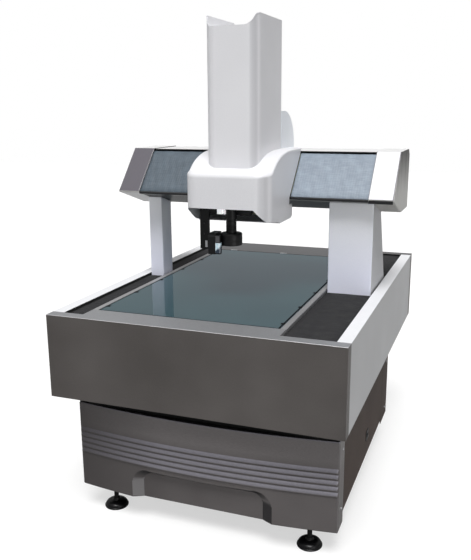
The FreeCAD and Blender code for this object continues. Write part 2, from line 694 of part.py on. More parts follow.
def make_fasteners():
    """Screw heads on the cabinet's sides, and the lock nuts of the feet."""
    pieces = []
    for side in (-1, 1):
        for y in (CABINET_FRONT + FASTENER_FRONT, CABINET_REAR - FASTENER_REAR):
            for z in (COVER_TOP - FASTENER_DROP, SIDE_BOTTOM + FASTENER_RISE):
                pieces.append(rod(CABINET_HALF * side, y, z, FASTENER_DIAMETER / 2, FASTENER_HEIGHT, RIGHT * side))
    for x in (-FOOT_X, FOOT_X):
        for y in (FOOT_FRONT_Y, FOOT_REAR_Y):
            pieces.append(hexagon(x, y, CABINET_BOTTOM - NUT_HEIGHT))
    save("cabinet_fasteners", *pieces)


def inlet_block(x0, x1, rim):
    """Box of the inlet's outline, narrowed by a rim."""
    half_width = INLET_WIDTH / 2 - rim
    half_height = INLET_HEIGHT / 2 - rim
    return block(x0, x1, INLET_Y - half_width, INLET_Y + half_width, INLET_Z - half_height, INLET_Z + half_height)


def make_inlet():
    """Power inlet in the right side panel: plate, body, socket and three pins."""
    face = CABINET_HALF + INLET_PLATE
    plate = inlet_block(CABINET_HALF, face, 0)
    body = inlet_block(CABINET_HALF - INLET_DEPTH, CABINET_HALF, INLET_RIM)
    floor = face - SOCKET_DEPTH
    socket = block(floor, face + OVERRUN, INLET_Y - SOCKET_WIDTH / 2, INLET_Y + SOCKET_WIDTH / 2,
                   INLET_Z - SOCKET_HEIGHT / 2, INLET_Z + SOCKET_HEIGHT / 2)
    pieces = [fuse([plate, body]).cut(socket)]
    for step in (-1, 0, 1):
        y = INLET_Y + step * PIN_PITCH
        pieces.append(block(floor - OVERRUN, floor + PIN_LENGTH, y - PIN_WIDTH / 2, y + PIN_WIDTH / 2,
                            INLET_Z - PIN_HEIGHT / 2, INLET_Z + PIN_HEIGHT / 2))
    save("power_inlet", fuse(pieces))


# Housing and stage

def make_end_panel(name, start, way, tongue):
    """Front or rear housing panel with its flange, side returns and the tongue to the glass."""
    def across(x0, x1, a, b, z0, z1):
        low, high = sorted((start + way * a, start + way * b))
        return block(x0, x1, low, high, z0, z1)
    bottom = -HOUSING_HEIGHT
    outer = across(-HALF_WIDTH, HALF_WIDTH, 0, FLANGE_DEPTH, bottom, 0)
    inner = across(-HALF_WIDTH + SHEET, HALF_WIDTH - SHEET, SHEET, FLANGE_DEPTH + OVERRUN, bottom - OVERRUN, -SHEET)
    plate = across(FRAME_LEFT, FRAME_RIGHT, FLANGE_DEPTH - SHEET, tongue, -SHEET, 0)
    save(name, fuse([outer.cut(inner), plate]))


def make_housing():
    """Front, rear and two side panels with their turned-down rims."""
    make_end_panel("housing_front_panel", 0, 1, GLASS_FRONT - GLASS_GAP)
    make_end_panel("housing_rear_panel", HOUSING_DEPTH, -1, GLASS_REAR_MARGIN - GLASS_GAP)
    front = FLANGE_DEPTH
    rear = HOUSING_DEPTH - FLANGE_DEPTH
    inside = HALF_WIDTH - SHEET
    for name, side in (("housing_left_panel", -1), ("housing_right_panel", 1)):
        pieces = []
        for a, b, low in ((inside, HALF_WIDTH, -HOUSING_HEIGHT), (WAY_RIGHT_OUTER, HALF_WIDTH, -SHEET),
                          (WAY_RIGHT_OUTER, WAY_RIGHT_OUTER + SHEET, -LIP_HEIGHT)):
            x0, x1 = sorted((side * a, side * b))
            pieces.append(block(x0, x1, front, rear, low, 0))
        save(name, fuse(pieces))


def make_stage():
    """Frame bars on the bed, side strips, glass with clamps sunk in its edges, and the light under it."""
    cross = GLASS_FRONT + FRAME_WALL / 2
    cross_rear = GLASS_REAR - FRAME_WALL / 2
    glass_front_edge = GLASS_FRONT - GLASS_GAP
    glass_rear_edge = GLASS_REAR + GLASS_GAP
    left = FRAME_LEFT + STRIP_WIDTH
    right = FRAME_RIGHT - STRIP_WIDTH
    front_bar = fuse([block(FRAME_LEFT, FRAME_RIGHT, BED_INSET, cross, BED_TOP, FRAME_TOP),
                      block(left, right, BED_INSET, glass_front_edge, FRAME_TOP, -SHEET)])
    rear_bar = fuse([block(FRAME_LEFT, FRAME_RIGHT, cross_rear, BED_REAR, BED_TOP, FRAME_TOP),
                     block(left, right, glass_rear_edge, BED_REAR, FRAME_TOP, -SHEET)])
    left_bar = block(FRAME_LEFT, FRAME_LEFT + FRAME_WALL, cross, cross_rear, BED_TOP, FRAME_TOP)
    right_bar = block(FRAME_RIGHT - FRAME_WALL, FRAME_RIGHT, cross, cross_rear, BED_TOP, FRAME_TOP)
    save("stage_frame", front_bar, rear_bar, left_bar, right_bar)
    strips = []
    for x in (FRAME_LEFT, right):
        low = block(x, x + STRIP_WIDTH, BED_INSET, BED_REAR, FRAME_TOP, -SHEET)
        top = block(x, x + STRIP_WIDTH, glass_front_edge, glass_rear_edge, -SHEET, 0)
        strips.append(fuse([low, top]))
    save("stage_strips", *strips)
    glass = block(GLASS_LEFT, GLASS_RIGHT, GLASS_FRONT, GLASS_REAR, FRAME_TOP, -GLASS_STEP)
    clamps = []
    low = -GLASS_STEP - CLAMP_SINK - CLAMP_HEIGHT
    half = CLAMP_SIZE / 2
    for x in (left, right - CLAMP_SIZE):
        y = GLASS_FRONT + CLAMP_FIRST
        while y + CLAMP_SIZE < GLASS_REAR:
            clamps.append(block(x, x + CLAMP_SIZE, y - half, y + half, low, low + CLAMP_HEIGHT))
            room = half + CLAMP_GAP
            glass = glass.cut(block(x - CLAMP_GAP, x + CLAMP_SIZE + CLAMP_GAP, y - room, y + room, low, OVERRUN))
            y += CLAMP_PITCH
    save("stage_glass", glass)
    save("glass_clamps", *clamps)
    margin = FRAME_WALL + LAMP_GAP
    lamp = (FRAME_LEFT + margin, FRAME_RIGHT - margin, cross + LAMP_GAP, cross_rear - LAMP_GAP)
    lamp_top = BED_TOP + LAMP_HEIGHT
    save("backlight", block(*lamp, BED_TOP, lamp_top), block(*lamp, lamp_top, lamp_top + DIFFUSER))


def make_way_bellows():
    """Closed solids of the four way bellows, beside the stage."""
    high = -WAY_DROP
    low = high - BELLOWS_THICKNESS
    front = SHEET + SOFT_GAP
    rear = HOUSING_DEPTH - SHEET - SOFT_GAP
    left = (WAY_LEFT_OUTER + BELLOWS_SIDE_GAP, FRAME_LEFT - BELLOWS_SIDE_GAP)
    right = (FRAME_RIGHT + BELLOWS_SIDE_GAP, WAY_RIGHT_OUTER - BELLOWS_SIDE_GAP)
    save("bellows_left_front", block(*left, front, LEFT_COLUMN_FRONT - SOFT_GAP, low, high))
    save("bellows_left_rear", block(*left, LEFT_COLUMN_REAR + SOFT_GAP, rear, low, high))
    save("bellows_right_front", block(*right, front, RIGHT_COLUMN_FRONT - SOFT_GAP, low, high))
    save("bellows_right_rear", block(*right, RIGHT_COLUMN_REAR + SOFT_GAP, rear, low, high))


# Bridge

def make_columns():
    """Left post and wide tapered right column, hollow and open at the foot."""
    wall = COLUMN_WALL
    ceiling = BEAM_BOTTOM_Z - wall
    foot = COLUMN_FOOT
    front = RIGHT_COLUMN_FRONT
    rear = RIGHT_COLUMN_REAR
    top_rear = RIGHT_COLUMN_TOP_REAR
    ceiling_rear = rear + (top_rear - rear) * ceiling / BEAM_BOTTOM_Z
    shape = [(front, foot), (rear, foot), (rear, 0), (top_rear, knee_height(top_rear))]
    if top_rear > BEAM_KNEE_Y:
        shape.append((BEAM_KNEE_Y, BEAM_BOTTOM_Z))
    shape.append((front, knee_height(front)))
    hollow = [(front + wall, foot - OVERRUN), (rear - wall, foot - OVERRUN), (rear - wall, 0),
              (ceiling_rear - wall, ceiling), (front + wall, ceiling)]
    solid = side_prism(shape, RIGHT_COLUMN_LEFT, RIGHT_COLUMN_RIGHT)
    save("right_column", solid.cut(side_prism(hollow, RIGHT_COLUMN_LEFT + wall, RIGHT_COLUMN_RIGHT - wall)))
    front = LEFT_COLUMN_FRONT
    rear = LEFT_COLUMN_REAR
    shape = [(front, foot), (rear, foot), (rear, knee_height(rear)), (front, knee_height(front))]
    hollow = block(LEFT_COLUMN_LEFT + wall, LEFT_COLUMN_RIGHT - wall, front + wall, rear - wall,
                   foot - OVERRUN, ceiling)
    save("left_column", side_prism(shape, LEFT_COLUMN_LEFT, LEFT_COLUMN_RIGHT).cut(hollow))


def make_saddles():
    """Foot plates under the columns, guide blocks on the rails, and the screw's nut."""
    right = block(RIGHT_COLUMN_LEFT, RIGHT_COLUMN_RIGHT, RIGHT_COLUMN_FRONT, RIGHT_COLUMN_REAR, BLOCK_TOP, COLUMN_FOOT)
    left = block(LEFT_COLUMN_LEFT, LEFT_COLUMN_RIGHT, LEFT_COLUMN_FRONT, LEFT_COLUMN_REAR, BLOCK_TOP, COLUMN_FOOT)
    save("bridge_saddles", right, left)
    places = ((RIGHT_RAIL_X, RIGHT_COLUMN_FRONT + BLOCK_INSET),
              (RIGHT_RAIL_X, RIGHT_COLUMN_REAR - BLOCK_INSET - BLOCK_LENGTH),
              (LEFT_RAIL_X, (LEFT_COLUMN_FRONT + LEFT_COLUMN_REAR - BLOCK_LENGTH) / 2))
    half_groove = WAY_RAIL_WIDTH / 2 + RAIL_GAP
    pieces = []
    for x, y in places:
        body = block(x - BLOCK_WIDTH / 2, x + BLOCK_WIDTH / 2, y, y + BLOCK_LENGTH, BLOCK_BOTTOM, BLOCK_TOP)
        groove = block(x - half_groove, x + half_groove, y - OVERRUN, y + BLOCK_LENGTH + OVERRUN,
                       BLOCK_BOTTOM - OVERRUN, RAIL_TOP + RAIL_GAP)
        pieces.append(body.cut(groove))
    start = (RIGHT_COLUMN_FRONT + RIGHT_COLUMN_REAR - NUT_LENGTH) / 2
    radius = SCREW_DIAMETER / 2
    half = radius + NUT_WALL
    nut = block(WAY_SCREW_X - half, WAY_SCREW_X + half, start, start + NUT_LENGTH,
                WAY_SCREW_Z - radius - SUPPORT_WALL, BLOCK_TOP)
    pieces.append(nut.cut(hole(WAY_SCREW_X, start, WAY_SCREW_Z, radius + SCREW_FIT, NUT_LENGTH, BACK)))
    save("way_blocks", *pieces)


def core_section():
    """Side view of the granite beam, behind the slanted front cover and the rails."""
    slope = (BEAM_BOTTOM_Z - BEAM_LOW_Z) / (BEAM_KNEE_Y - BEAM_LOW_Y)
    base_y, base_z = slant_point(0, -CORE_DEPTH)
    climb = math.sin(SLANT) - slope * math.cos(SLANT)
    nose = (BEAM_LOW_Z + slope * (base_y - BEAM_LOW_Y) - base_z) / climb
    return [slant_point(nose, -CORE_DEPTH), (BEAM_KNEE_Y, BEAM_BOTTOM_Z), (CORE_REAR, BEAM_BOTTOM_Z),
            (CORE_REAR, CORE_TOP - BEAM_CORNER), (CORE_REAR - BEAM_CORNER, CORE_TOP),
            (slant_y(CORE_TOP, -CORE_DEPTH), CORE_TOP)]


def make_beam():
    """Granite beam, the cover over its top and rear, and the lip under the bellows."""
    core = core_section()
    save("beam", side_prism(core, CORE_LEFT, CORE_RIGHT))
    left = BEAM_LEFT + CAP_WIDTH
    right = BEAM_RIGHT - CAP_WIDTH
    top = BEAM_TOP_Z
    rear = BEAM_REAR_Y
    front_edge = slant_y(top, -SHEET)
    roof = [(front_edge, top), (rear - BEAM_CORNER, top), (rear, top - BEAM_CORNER), (rear, BEAM_BOTTOM_Z),
            core[2], core[3], core[4], core[5], (front_edge + SHEET, top - SHEET)]
    save("beam_cover", side_prism(roof, left, right))
    lip_rear = RIGHT_COLUMN_FRONT - LIP_WRAP
    inner_s = BEAM_BELLOWS_LOW - LIP_WRAP
    lip = [(BEAM_LOW_Y, BEAM_LOW_Z - LIP_BAND), (BEAM_LOW_Y, BEAM_LOW_Z), slant_point(inner_s, -OVERRUN),
           slant_point(inner_s, -SHEET - BELLOWS_THICKNESS), core[0], (lip_rear, knee_height(lip_rear)),
           (lip_rear, knee_height(lip_rear) - LIP_WRAP)]
    save("beam_lip", side_prism(lip, left, right))


def make_end_caps():
    """Two deep caps over the beam's ends, closed outside and open below where the core runs."""
    grow = SHEET
    rear = BEAM_REAR_Y + grow
    top = BEAM_TOP_Z + grow
    outline = [(slant_y(BEAM_LOW_Z, grow), BEAM_LOW_Z), (BEAM_LOW_Y, BEAM_LOW_Z - grow),
               (BEAM_KNEE_Y, BEAM_BOTTOM_Z - grow), (rear, BEAM_BOTTOM_Z - grow), (rear, top - BEAM_CORNER),
               (rear - BEAM_CORNER, top), (slant_y(top, grow), top)]
    core = core_section()
    upper = [core[3], core[4], (slant_y(CORE_TOP, -SHEET), CORE_TOP)]
    nose = slant_point(BEAM_BELLOWS_LOW, -SHEET)
    closed = [nose, (BEAM_KNEE_Y, BEAM_BOTTOM_Z), (CORE_REAR, BEAM_BOTTOM_Z)] + upper
    below = BEAM_BOTTOM_Z - CAP_WIDTH
    opened = [slant_point(-2 * BEAM_BELLOWS_LOW, -SHEET), (BEAM_LOW_Y, below), (CORE_REAR, below)] + upper
    for name, end, way, core_end in (("left_end_cap", BEAM_LEFT, 1, CORE_LEFT),
                                     ("right_end_cap", BEAM_RIGHT, -1, CORE_RIGHT)):
        inner = end + way * CAP_WIDTH
        cap = side_prism(outline, end, inner)
        cap = cap.cut(side_prism(closed, end + way * SHEET, core_end))
        cap = cap.cut(side_prism(opened, core_end - way * OVERRUN, inner + way * OVERRUN))
        save(name, cap)


def make_beam_drive():
    """Rails, screw, bearings and motor on the core's slanted face."""
    base = -CORE_DEPTH
    rails = []
    half = BEAM_RAIL_WIDTH / 2
    for s in (BEAM_RAIL_LOW, BEAM_RAIL_HIGH):
        rails.append(slanted(CORE_LEFT + BEAM_RAIL_INSET, CORE_RIGHT - BEAM_RAIL_INSET, s - half, s + half,
                             base, base + BEAM_RAIL_HEIGHT))
    save("beam_rails", *rails)
    radius = BEAM_SCREW_DIAMETER / 2
    half = BEAM_SUPPORT_WIDTH / 2
    pieces = []
    for x in (CORE_LEFT, CORE_RIGHT - BEAM_SUPPORT_LENGTH):
        end = x + BEAM_SUPPORT_LENGTH
        support = slanted(x, end, BEAM_SCREW_S - half, BEAM_SCREW_S + half, base, BEAM_SCREW_T + radius + SUPPORT_WALL)
        bore = slant_rod(x - OVERRUN, end + OVERRUN, BEAM_SCREW_S, BEAM_SCREW_T, radius + SCREW_FIT)
        pieces.append(support.cut(bore))
    half = BEAM_MOTOR_SIZE / 2
    pieces.append(slanted(CORE_LEFT - BEAM_MOTOR_LENGTH, CORE_LEFT, BEAM_SCREW_S - half, BEAM_SCREW_S + half,
                          BEAM_SCREW_T - half, BEAM_SCREW_T + half))
    save("beam_drive", *pieces)
    save("beam_screw", slant_rod(CORE_LEFT + SCREW_END, CORE_RIGHT - SCREW_END, BEAM_SCREW_S, BEAM_SCREW_T, radius))


def make_beam_bellows():
    """Closed solids of the two beam bellows, from the end caps to the carriage."""
    low = BEAM_BELLOWS_LOW
    high = SLANT_LENGTH - BEAM_BELLOWS_HIGH
    top = -SHEET - SOFT_GAP
    bottom = top - BELLOWS_THICKNESS
    save("bellows_beam_left", slanted(CORE_LEFT + BEAM_BELLOWS_INSET, HEAD_LEFT - SOFT_GAP, low, high, bottom, top))
    save("bellows_beam_right", slanted(HEAD_RIGHT + SOFT_GAP, CORE_RIGHT - BEAM_BELLOWS_INSET, low, high, bottom, top))


# Carriage on the beam

def make_carriage():
    """Slanted plate and upright spine with webs between them, and arms that hold the covers."""
    high_s = SLANT_LENGTH - PLATE_HIGH
    plate = slanted(HEAD_LEFT, HEAD_RIGHT, PLATE_LOW, high_s, PLATE_INNER_T, PLATE_OUTER_T)
    left = HEAD_MIDDLE - SPINE_WIDTH / 2
    right = HEAD_MIDDLE + SPINE_WIDTH / 2
    spine = block(left, right, SPINE_FRONT, SPINE_BACK, SPINE_BOTTOM, SPINE_TOP)
    foot = slant_point(PLATE_LOW + CARRIAGE_PLATE / 4, PLATE_OUTER_T - CARRIAGE_PLATE / 4)
    head = slant_point(high_s - CARRIAGE_PLATE / 4, PLATE_OUTER_T - CARRIAGE_PLATE / 4)
    web = [(SPINE_BACK - OVERRUN, foot[1]), foot, head, (SPINE_BACK - OVERRUN, head[1])]
    webs = [side_prism(web, x, x + CARRIAGE_PLATE) for x in (left, right - CARRIAGE_PLATE)]
    head_arm = SPINE_BOTTOM + HEAD_ARM_RISE
    tower_arm = SPINE_TOP - TOWER_ARM_DROP
    arms = []
    for start, end, low in ((HEAD_LEFT, HEAD_RIGHT, head_arm), (TOWER_LEFT, TOWER_RIGHT, tower_arm)):
        arms.append(block(start + COVER_WALL, end - COVER_WALL, SPINE_FRONT, SPINE_BACK, low, low + ARM_HEIGHT))
    save("x_carriage", fuse([plate, spine] + webs + arms))


def make_carriage_blocks():
    """Guide blocks on the beam's rails, and the screw's nut."""
    low = -CORE_DEPTH + BED_CLEARANCE
    half = CARRIAGE_BLOCK_WIDTH / 2
    half_groove = BEAM_RAIL_WIDTH / 2 + RAIL_GAP
    groove_top = -CORE_DEPTH + BEAM_RAIL_HEIGHT + RAIL_GAP
    pieces = []
    for s in (BEAM_RAIL_LOW, BEAM_RAIL_HIGH):
        for x in (HEAD_LEFT + CARRIAGE_BLOCK_INSET, HEAD_RIGHT - CARRIAGE_BLOCK_INSET - CARRIAGE_BLOCK_LENGTH):
            end = x + CARRIAGE_BLOCK_LENGTH
            body = slanted(x, end, s - half, s + half, low, PLATE_INNER_T)
            groove = slanted(x - OVERRUN, end + OVERRUN, s - half_groove, s + half_groove, low - OVERRUN, groove_top)
            pieces.append(body.cut(groove))
    start = HEAD_MIDDLE - CARRIAGE_NUT_LENGTH / 2
    end = HEAD_MIDDLE + CARRIAGE_NUT_LENGTH / 2
    half = CARRIAGE_NUT_WIDTH / 2
    nut = slanted(start, end, BEAM_SCREW_S - half, BEAM_SCREW_S + half, low, PLATE_INNER_T)
    radius = BEAM_SCREW_DIAMETER / 2 + SCREW_FIT
    pieces.append(nut.cut(slant_rod(start - OVERRUN, end + OVERRUN, BEAM_SCREW_S, BEAM_SCREW_T, radius)))
    save("x_blocks", *pieces)


def sweep_edges(x, drop, front, rear_y, low):
    """Edges of the head's swept top with straight sides down to a floor, in side view."""
    start = HEAD_FRONT + HEAD_SWEEP_START
    end = slant_y(HEAD_REAR_TOP, BEAM_CLEARANCE) - HEAD_SWEEP_END
    middle = (start + end) / 2
    top_front = HEAD_FRONT_TOP - drop
    top_rear = HEAD_REAR_TOP - drop
    curve = Part.BezierCurve()
    curve.setPoles([Vector(x, start, top_front), Vector(x, middle, top_front),
                    Vector(x, middle, top_rear), Vector(x, end, top_rear)])
    lead = [Part.makeLine(Vector(x, front, low), Vector(x, front, top_front)),
            Part.makeLine(Vector(x, front, top_front), Vector(x, start, top_front))]
    return lead + [curve.toShape(), Part.makeLine(Vector(x, end, top_rear), Vector(x, rear_y, top_rear))]


def head_side(inset, gap, x0, x1):
    """Side view of the head: swept top, slanted rear at a gap from the beam, and the ear below."""
    low = EAR_BOTTOM + inset
    top_rear = HEAD_REAR_TOP - inset
    front = HEAD_FRONT - OVERRUN
    rear_y = slant_y(top_rear, gap)
    foot_y = slant_y(BEAM_LOW_Z, gap)
    lip_low = BEAM_LOW_Z - LIP_BAND - (EAR_REAR - BEAM_LOW_Y) * LIP_BAND / (RIGHT_COLUMN_FRONT - EAR_REAR + LIP_BAND)
    ear_top = min(lip_low, knee_height(EAR_REAR) - LIP_WRAP) - BEAM_CLEARANCE - inset
    ear_rear = EAR_REAR - inset
    corners = [(rear_y, top_rear), (foot_y, BEAM_LOW_Z), (foot_y, ear_top), (ear_rear, ear_top), (ear_rear, low + 8),
               (ear_rear - 22, low), (front, low)]
    points = [Vector(x0, y, z) for y, z in corners]
    edges = sweep_edges(x0, inset, front, rear_y, low)
    for start, end in zip(points[:-1], points[1:]):
        edges.append(Part.makeLine(start, end))
    return Part.Face(Part.Wire(edges)).extrude(Vector(x1 - x0, 0, 0))


def head_body(inset, gap):
    """Closed head shape, moved inward by an inset."""
    plan = rounded_plan(HEAD_LEFT + inset, HEAD_RIGHT - inset, HEAD_FRONT + inset, BEAM_REAR_Y, HEAD_CORNER - inset,
                        EAR_BOTTOM, HEAD_REAR_TOP)
    return plan.common(head_side(inset, gap, HEAD_LEFT, HEAD_RIGHT))


def tower_plan(inset, z0, z1):
    """Plan of the tower between two heights, moved inward by an inset."""
    return rounded_plan(TOWER_LEFT + inset, TOWER_RIGHT - inset, TOWER_FRONT + inset, TOWER_REAR - inset,
                        TOWER_CORNER - inset, z0, z1)


def make_head_cover():
    """Shell of the head: open towards the beam, below the optics and into the tower."""
    shell = head_body(0, BEAM_CLEARANCE).cut(head_body(COVER_WALL, -BEAM_CLEARANCE))
    shell = shell.cut(tower_plan(COVER_WALL, HEAD_FRONT_TOP - TOWER_CORNER, HEAD_REAR_TOP + OVERRUN))
    low = EAR_BOTTOM - OVERRUN
    front = HEAD_FRONT - OVERRUN
    left = HEAD_LEFT - OVERRUN
    right = HEAD_RIGHT + OVERRUN
    corner_left = HEAD_RIGHT - HEAD_CORNER
    floor = EAR_BOTTOM + COVER_WALL + OVERRUN
    mouth = [(front, low), (EAR_FRONT, low)]
    for step in range(MOUTH_STEPS + 1):
        share = step / MOUTH_STEPS
        y = EAR_FRONT - (EAR_FRONT - HEAD_FRONT) * share
        mouth.append((y, floor + (HEAD_MOUTH - floor) * (1 - math.cos(math.pi * share)) / 2))
    mouth.append((front, HEAD_MOUTH))
    flank = [(left, low), (left, HEAD_MOUTH), (corner_left, HEAD_MOUTH), (corner_left + HEAD_MOUTH - low, low)]
    ledge = [(front, low), (EAR_FRONT, low), (EAR_FRONT, floor), (front, EAR_BOTTOM + MOUTH_LEDGE)]
    shell = shell.cut(side_prism(mouth, left, right).common(front_prism(flank, front, EAR_FRONT)))
    save("head_cover", shell.cut(side_prism(ledge, corner_left, right)))


def make_tower_cover():
    """Tower shell with a saddle-shaped top, standing on the head."""
    outer = tower_plan(0, HEAD_FRONT_TOP - OVERRUN, TOWER_TOP)
    notch = [(TOWER_LEFT + x, TOWER_TOP + share * NOTCH_DEPTH) for x, share in NOTCH_LEFT]
    notch += [(TOWER_RIGHT - x, TOWER_TOP + share * NOTCH_DEPTH) for x, share in NOTCH_RIGHT]
    outer = outer.cut(front_prism(notch, TOWER_FRONT - OVERRUN, TOWER_REAR + OVERRUN))
    shell = outer.cut(tower_plan(COVER_WALL, HEAD_FRONT_TOP - 2 * OVERRUN, TOWER_FLOOR - COVER_WALL))
    left = TOWER_LEFT - OVERRUN
    front = TOWER_FRONT - OVERRUN
    rear = TOWER_REAR + OVERRUN
    low = HEAD_FRONT_TOP - TOWER_CORNER
    start = HEAD_FRONT + HEAD_SWEEP_START
    edges = sweep_edges(left, 0, min(front, start - OVERRUN), rear, low)
    top_rear = Vector(left, rear, HEAD_REAR_TOP)
    floor_rear = Vector(left, rear, low)
    edges += [Part.makeLine(top_rear, floor_rear),
              Part.makeLine(floor_rear, Vector(left, min(front, start - OVERRUN), low))]
    under = Part.Face(Part.Wire(edges)).extrude(Vector(TOWER_WIDTH + 2 * OVERRUN, 0, 0))
    save("tower_cover", shell.cut(under))


def hump(inset):
    """Closed quarter-round shape behind the tower, moved inward by an inset."""
    left = TOWER_LEFT + inset
    low = HEAD_REAR_TOP
    top = low + HUMP_HEIGHT - inset
    rear = TOWER_REAR + HUMP_DEPTH - inset
    crown_y = TOWER_REAR + HUMP_CROWN
    base = Vector(left, TOWER_REAR, low)
    crown = Vector(left, TOWER_REAR, top)
    start = Vector(left, crown_y, top)
    middle = Vector(left, crown_y + (rear - crown_y) * 0.62, low + (top - low) * 0.74)
    end = Vector(left, rear, low)
    edges = [Part.makeLine(base, crown), Part.makeLine(crown, start), Part.Arc(start, middle, end).toShape(),
             Part.makeLine(end, base)]
    return Part.Face(Part.Wire(edges)).extrude(Vector(TOWER_WIDTH - 2 * inset, 0, 0))


def make_rear_cover():
    """Quarter-round cover behind the tower, over the beam, open towards both."""
    save("rear_cover", hump(0).cut(hump(COVER_WALL)))


def make_tower_drive():
    """Rails, screw bearings and motor on the spine, and the screw."""
    pieces = []
    for side in (-1, 1):
        x = HEAD_MIDDLE + side * TOWER_RAIL_SPACING / 2
        pieces.append(block(x - TOWER_RAIL_WIDTH / 2, x + TOWER_RAIL_WIDTH / 2, SPINE_FRONT - TOWER_RAIL_HEIGHT,
                            SPINE_FRONT, SPINE_BOTTOM + TOWER_RAIL_LOW, SPINE_TOP - TOWER_RAIL_HIGH))
    radius = TOWER_SCREW_DIAMETER / 2
    half = TOWER_SUPPORT_WIDTH / 2
    height = TOWER_SUPPORT_HEIGHT
    front = TOWER_SCREW_Y - radius - TOWER_SUPPORT_WALL
    for z in (SPINE_BOTTOM + height, SPINE_TOP - height):
        support = block(HEAD_MIDDLE - half, HEAD_MIDDLE + half, front, SPINE_FRONT, z, z + height)
        pieces.append(support.cut(hole(HEAD_MIDDLE, TOWER_SCREW_Y, z, radius + SCREW_FIT, height, UP)))
    size = TOWER_MOTOR_SIZE / 2
    pieces.append(block(HEAD_MIDDLE - size, HEAD_MIDDLE + size, TOWER_SCREW_Y - size, TOWER_SCREW_Y + size,
                        SPINE_TOP, SPINE_TOP + TOWER_MOTOR_LENGTH))
    save("tower_drive", *pieces)
    start = SPINE_BOTTOM + height + SCREW_END
    save("tower_screw", rod(HEAD_MIDDLE, TOWER_SCREW_Y, start, radius, SPINE_TOP - SCREW_END - start, UP))


# Optics slide

def make_slide():
    """Slide plate with two clamps for the lens barrel."""
    plate = block(SLIDE_LEFT, SLIDE_RIGHT, SLIDE_FRONT, SLIDE_BACK, SLIDE_BOTTOM, SLIDE_TOP)
    radius = BARREL_DIAMETER / 2
    half = radius + LENS_BRACKET_WALL
    pieces = [plate]
    for z in (SLIDE_BOTTOM + LENS_BRACKET_LOW, SLIDE_BOTTOM + LENS_BRACKET_HIGH):
        clamp = block(OPTICS_X - half, OPTICS_X + half, OPTICS_Y, SLIDE_FRONT, z, z + LENS_BRACKET_HEIGHT)
        pieces.append(clamp.cut(hole(OPTICS_X, OPTICS_Y, z, radius + BARREL_FIT, LENS_BRACKET_HEIGHT, UP)))
    save("z_slide", *pieces)


def make_slide_blocks():
    """Guide blocks on the tower's rails, and the screw's nut."""
    block_back = SPINE_FRONT - BED_CLEARANCE
    half = SLIDE_BLOCK_WIDTH / 2
    half_groove = TOWER_RAIL_WIDTH / 2 + RAIL_GAP
    height = SLIDE_BLOCK_HEIGHT
    groove_front = SPINE_FRONT - TOWER_RAIL_HEIGHT - RAIL_GAP
    pieces = []
    for side in (-1, 1):
        x = HEAD_MIDDLE + side * TOWER_RAIL_SPACING / 2
        for z in (SLIDE_BOTTOM + SLIDE_BLOCK_LOW, SLIDE_TOP - SLIDE_BLOCK_HIGH):
            body = block(x - half, x + half, SLIDE_BACK, block_back, z, z + height)
            groove = block(x - half_groove, x + half_groove, groove_front, block_back + OVERRUN,
                           z - OVERRUN, z + height + OVERRUN)
            pieces.append(body.cut(groove))
    z = SLIDE_BOTTOM + SLIDE_NUT_RISE
    half = SLIDE_NUT_WIDTH / 2
    nut = block(HEAD_MIDDLE - half, HEAD_MIDDLE + half, SLIDE_BACK, block_back, z, z + SLIDE_NUT_HEIGHT)
    radius = TOWER_SCREW_DIAMETER / 2 + SCREW_FIT
    pieces.append(nut.cut(hole(HEAD_MIDDLE, TOWER_SCREW_Y, z, radius, SLIDE_NUT_HEIGHT, UP)))
    save("z_blocks", *pieces)


def make_optics():
    """Lens barrel, camera and ring light."""
    radius = BARREL_DIAMETER / 2
    save("lens_barrel", rod(OPTICS_X, OPTICS_Y, BARREL_BOTTOM, radius, BARREL_LENGTH, UP))
    half = CAMERA_SIZE / 2
    save("camera", block(OPTICS_X - half, OPTICS_X + half, OPTICS_Y - half, OPTICS_Y + half,
                         BARREL_TOP, BARREL_TOP + CAMERA_HEIGHT))
    ring = rod(OPTICS_X, OPTICS_Y, RING_BOTTOM, RING_DIAMETER / 2, RING_HEIGHT, UP)
    bowl = rod(OPTICS_X, OPTICS_Y, RING_BOTTOM - OVERRUN, RING_DIAMETER / 2 - RING_WALL, RING_BOWL + OVERRUN, UP)
    bore = hole(OPTICS_X, OPTICS_Y, RING_BOTTOM, radius + BARREL_FIT, RING_HEIGHT, UP)
    save("ring_light", ring.cut(bowl).cut(bore))


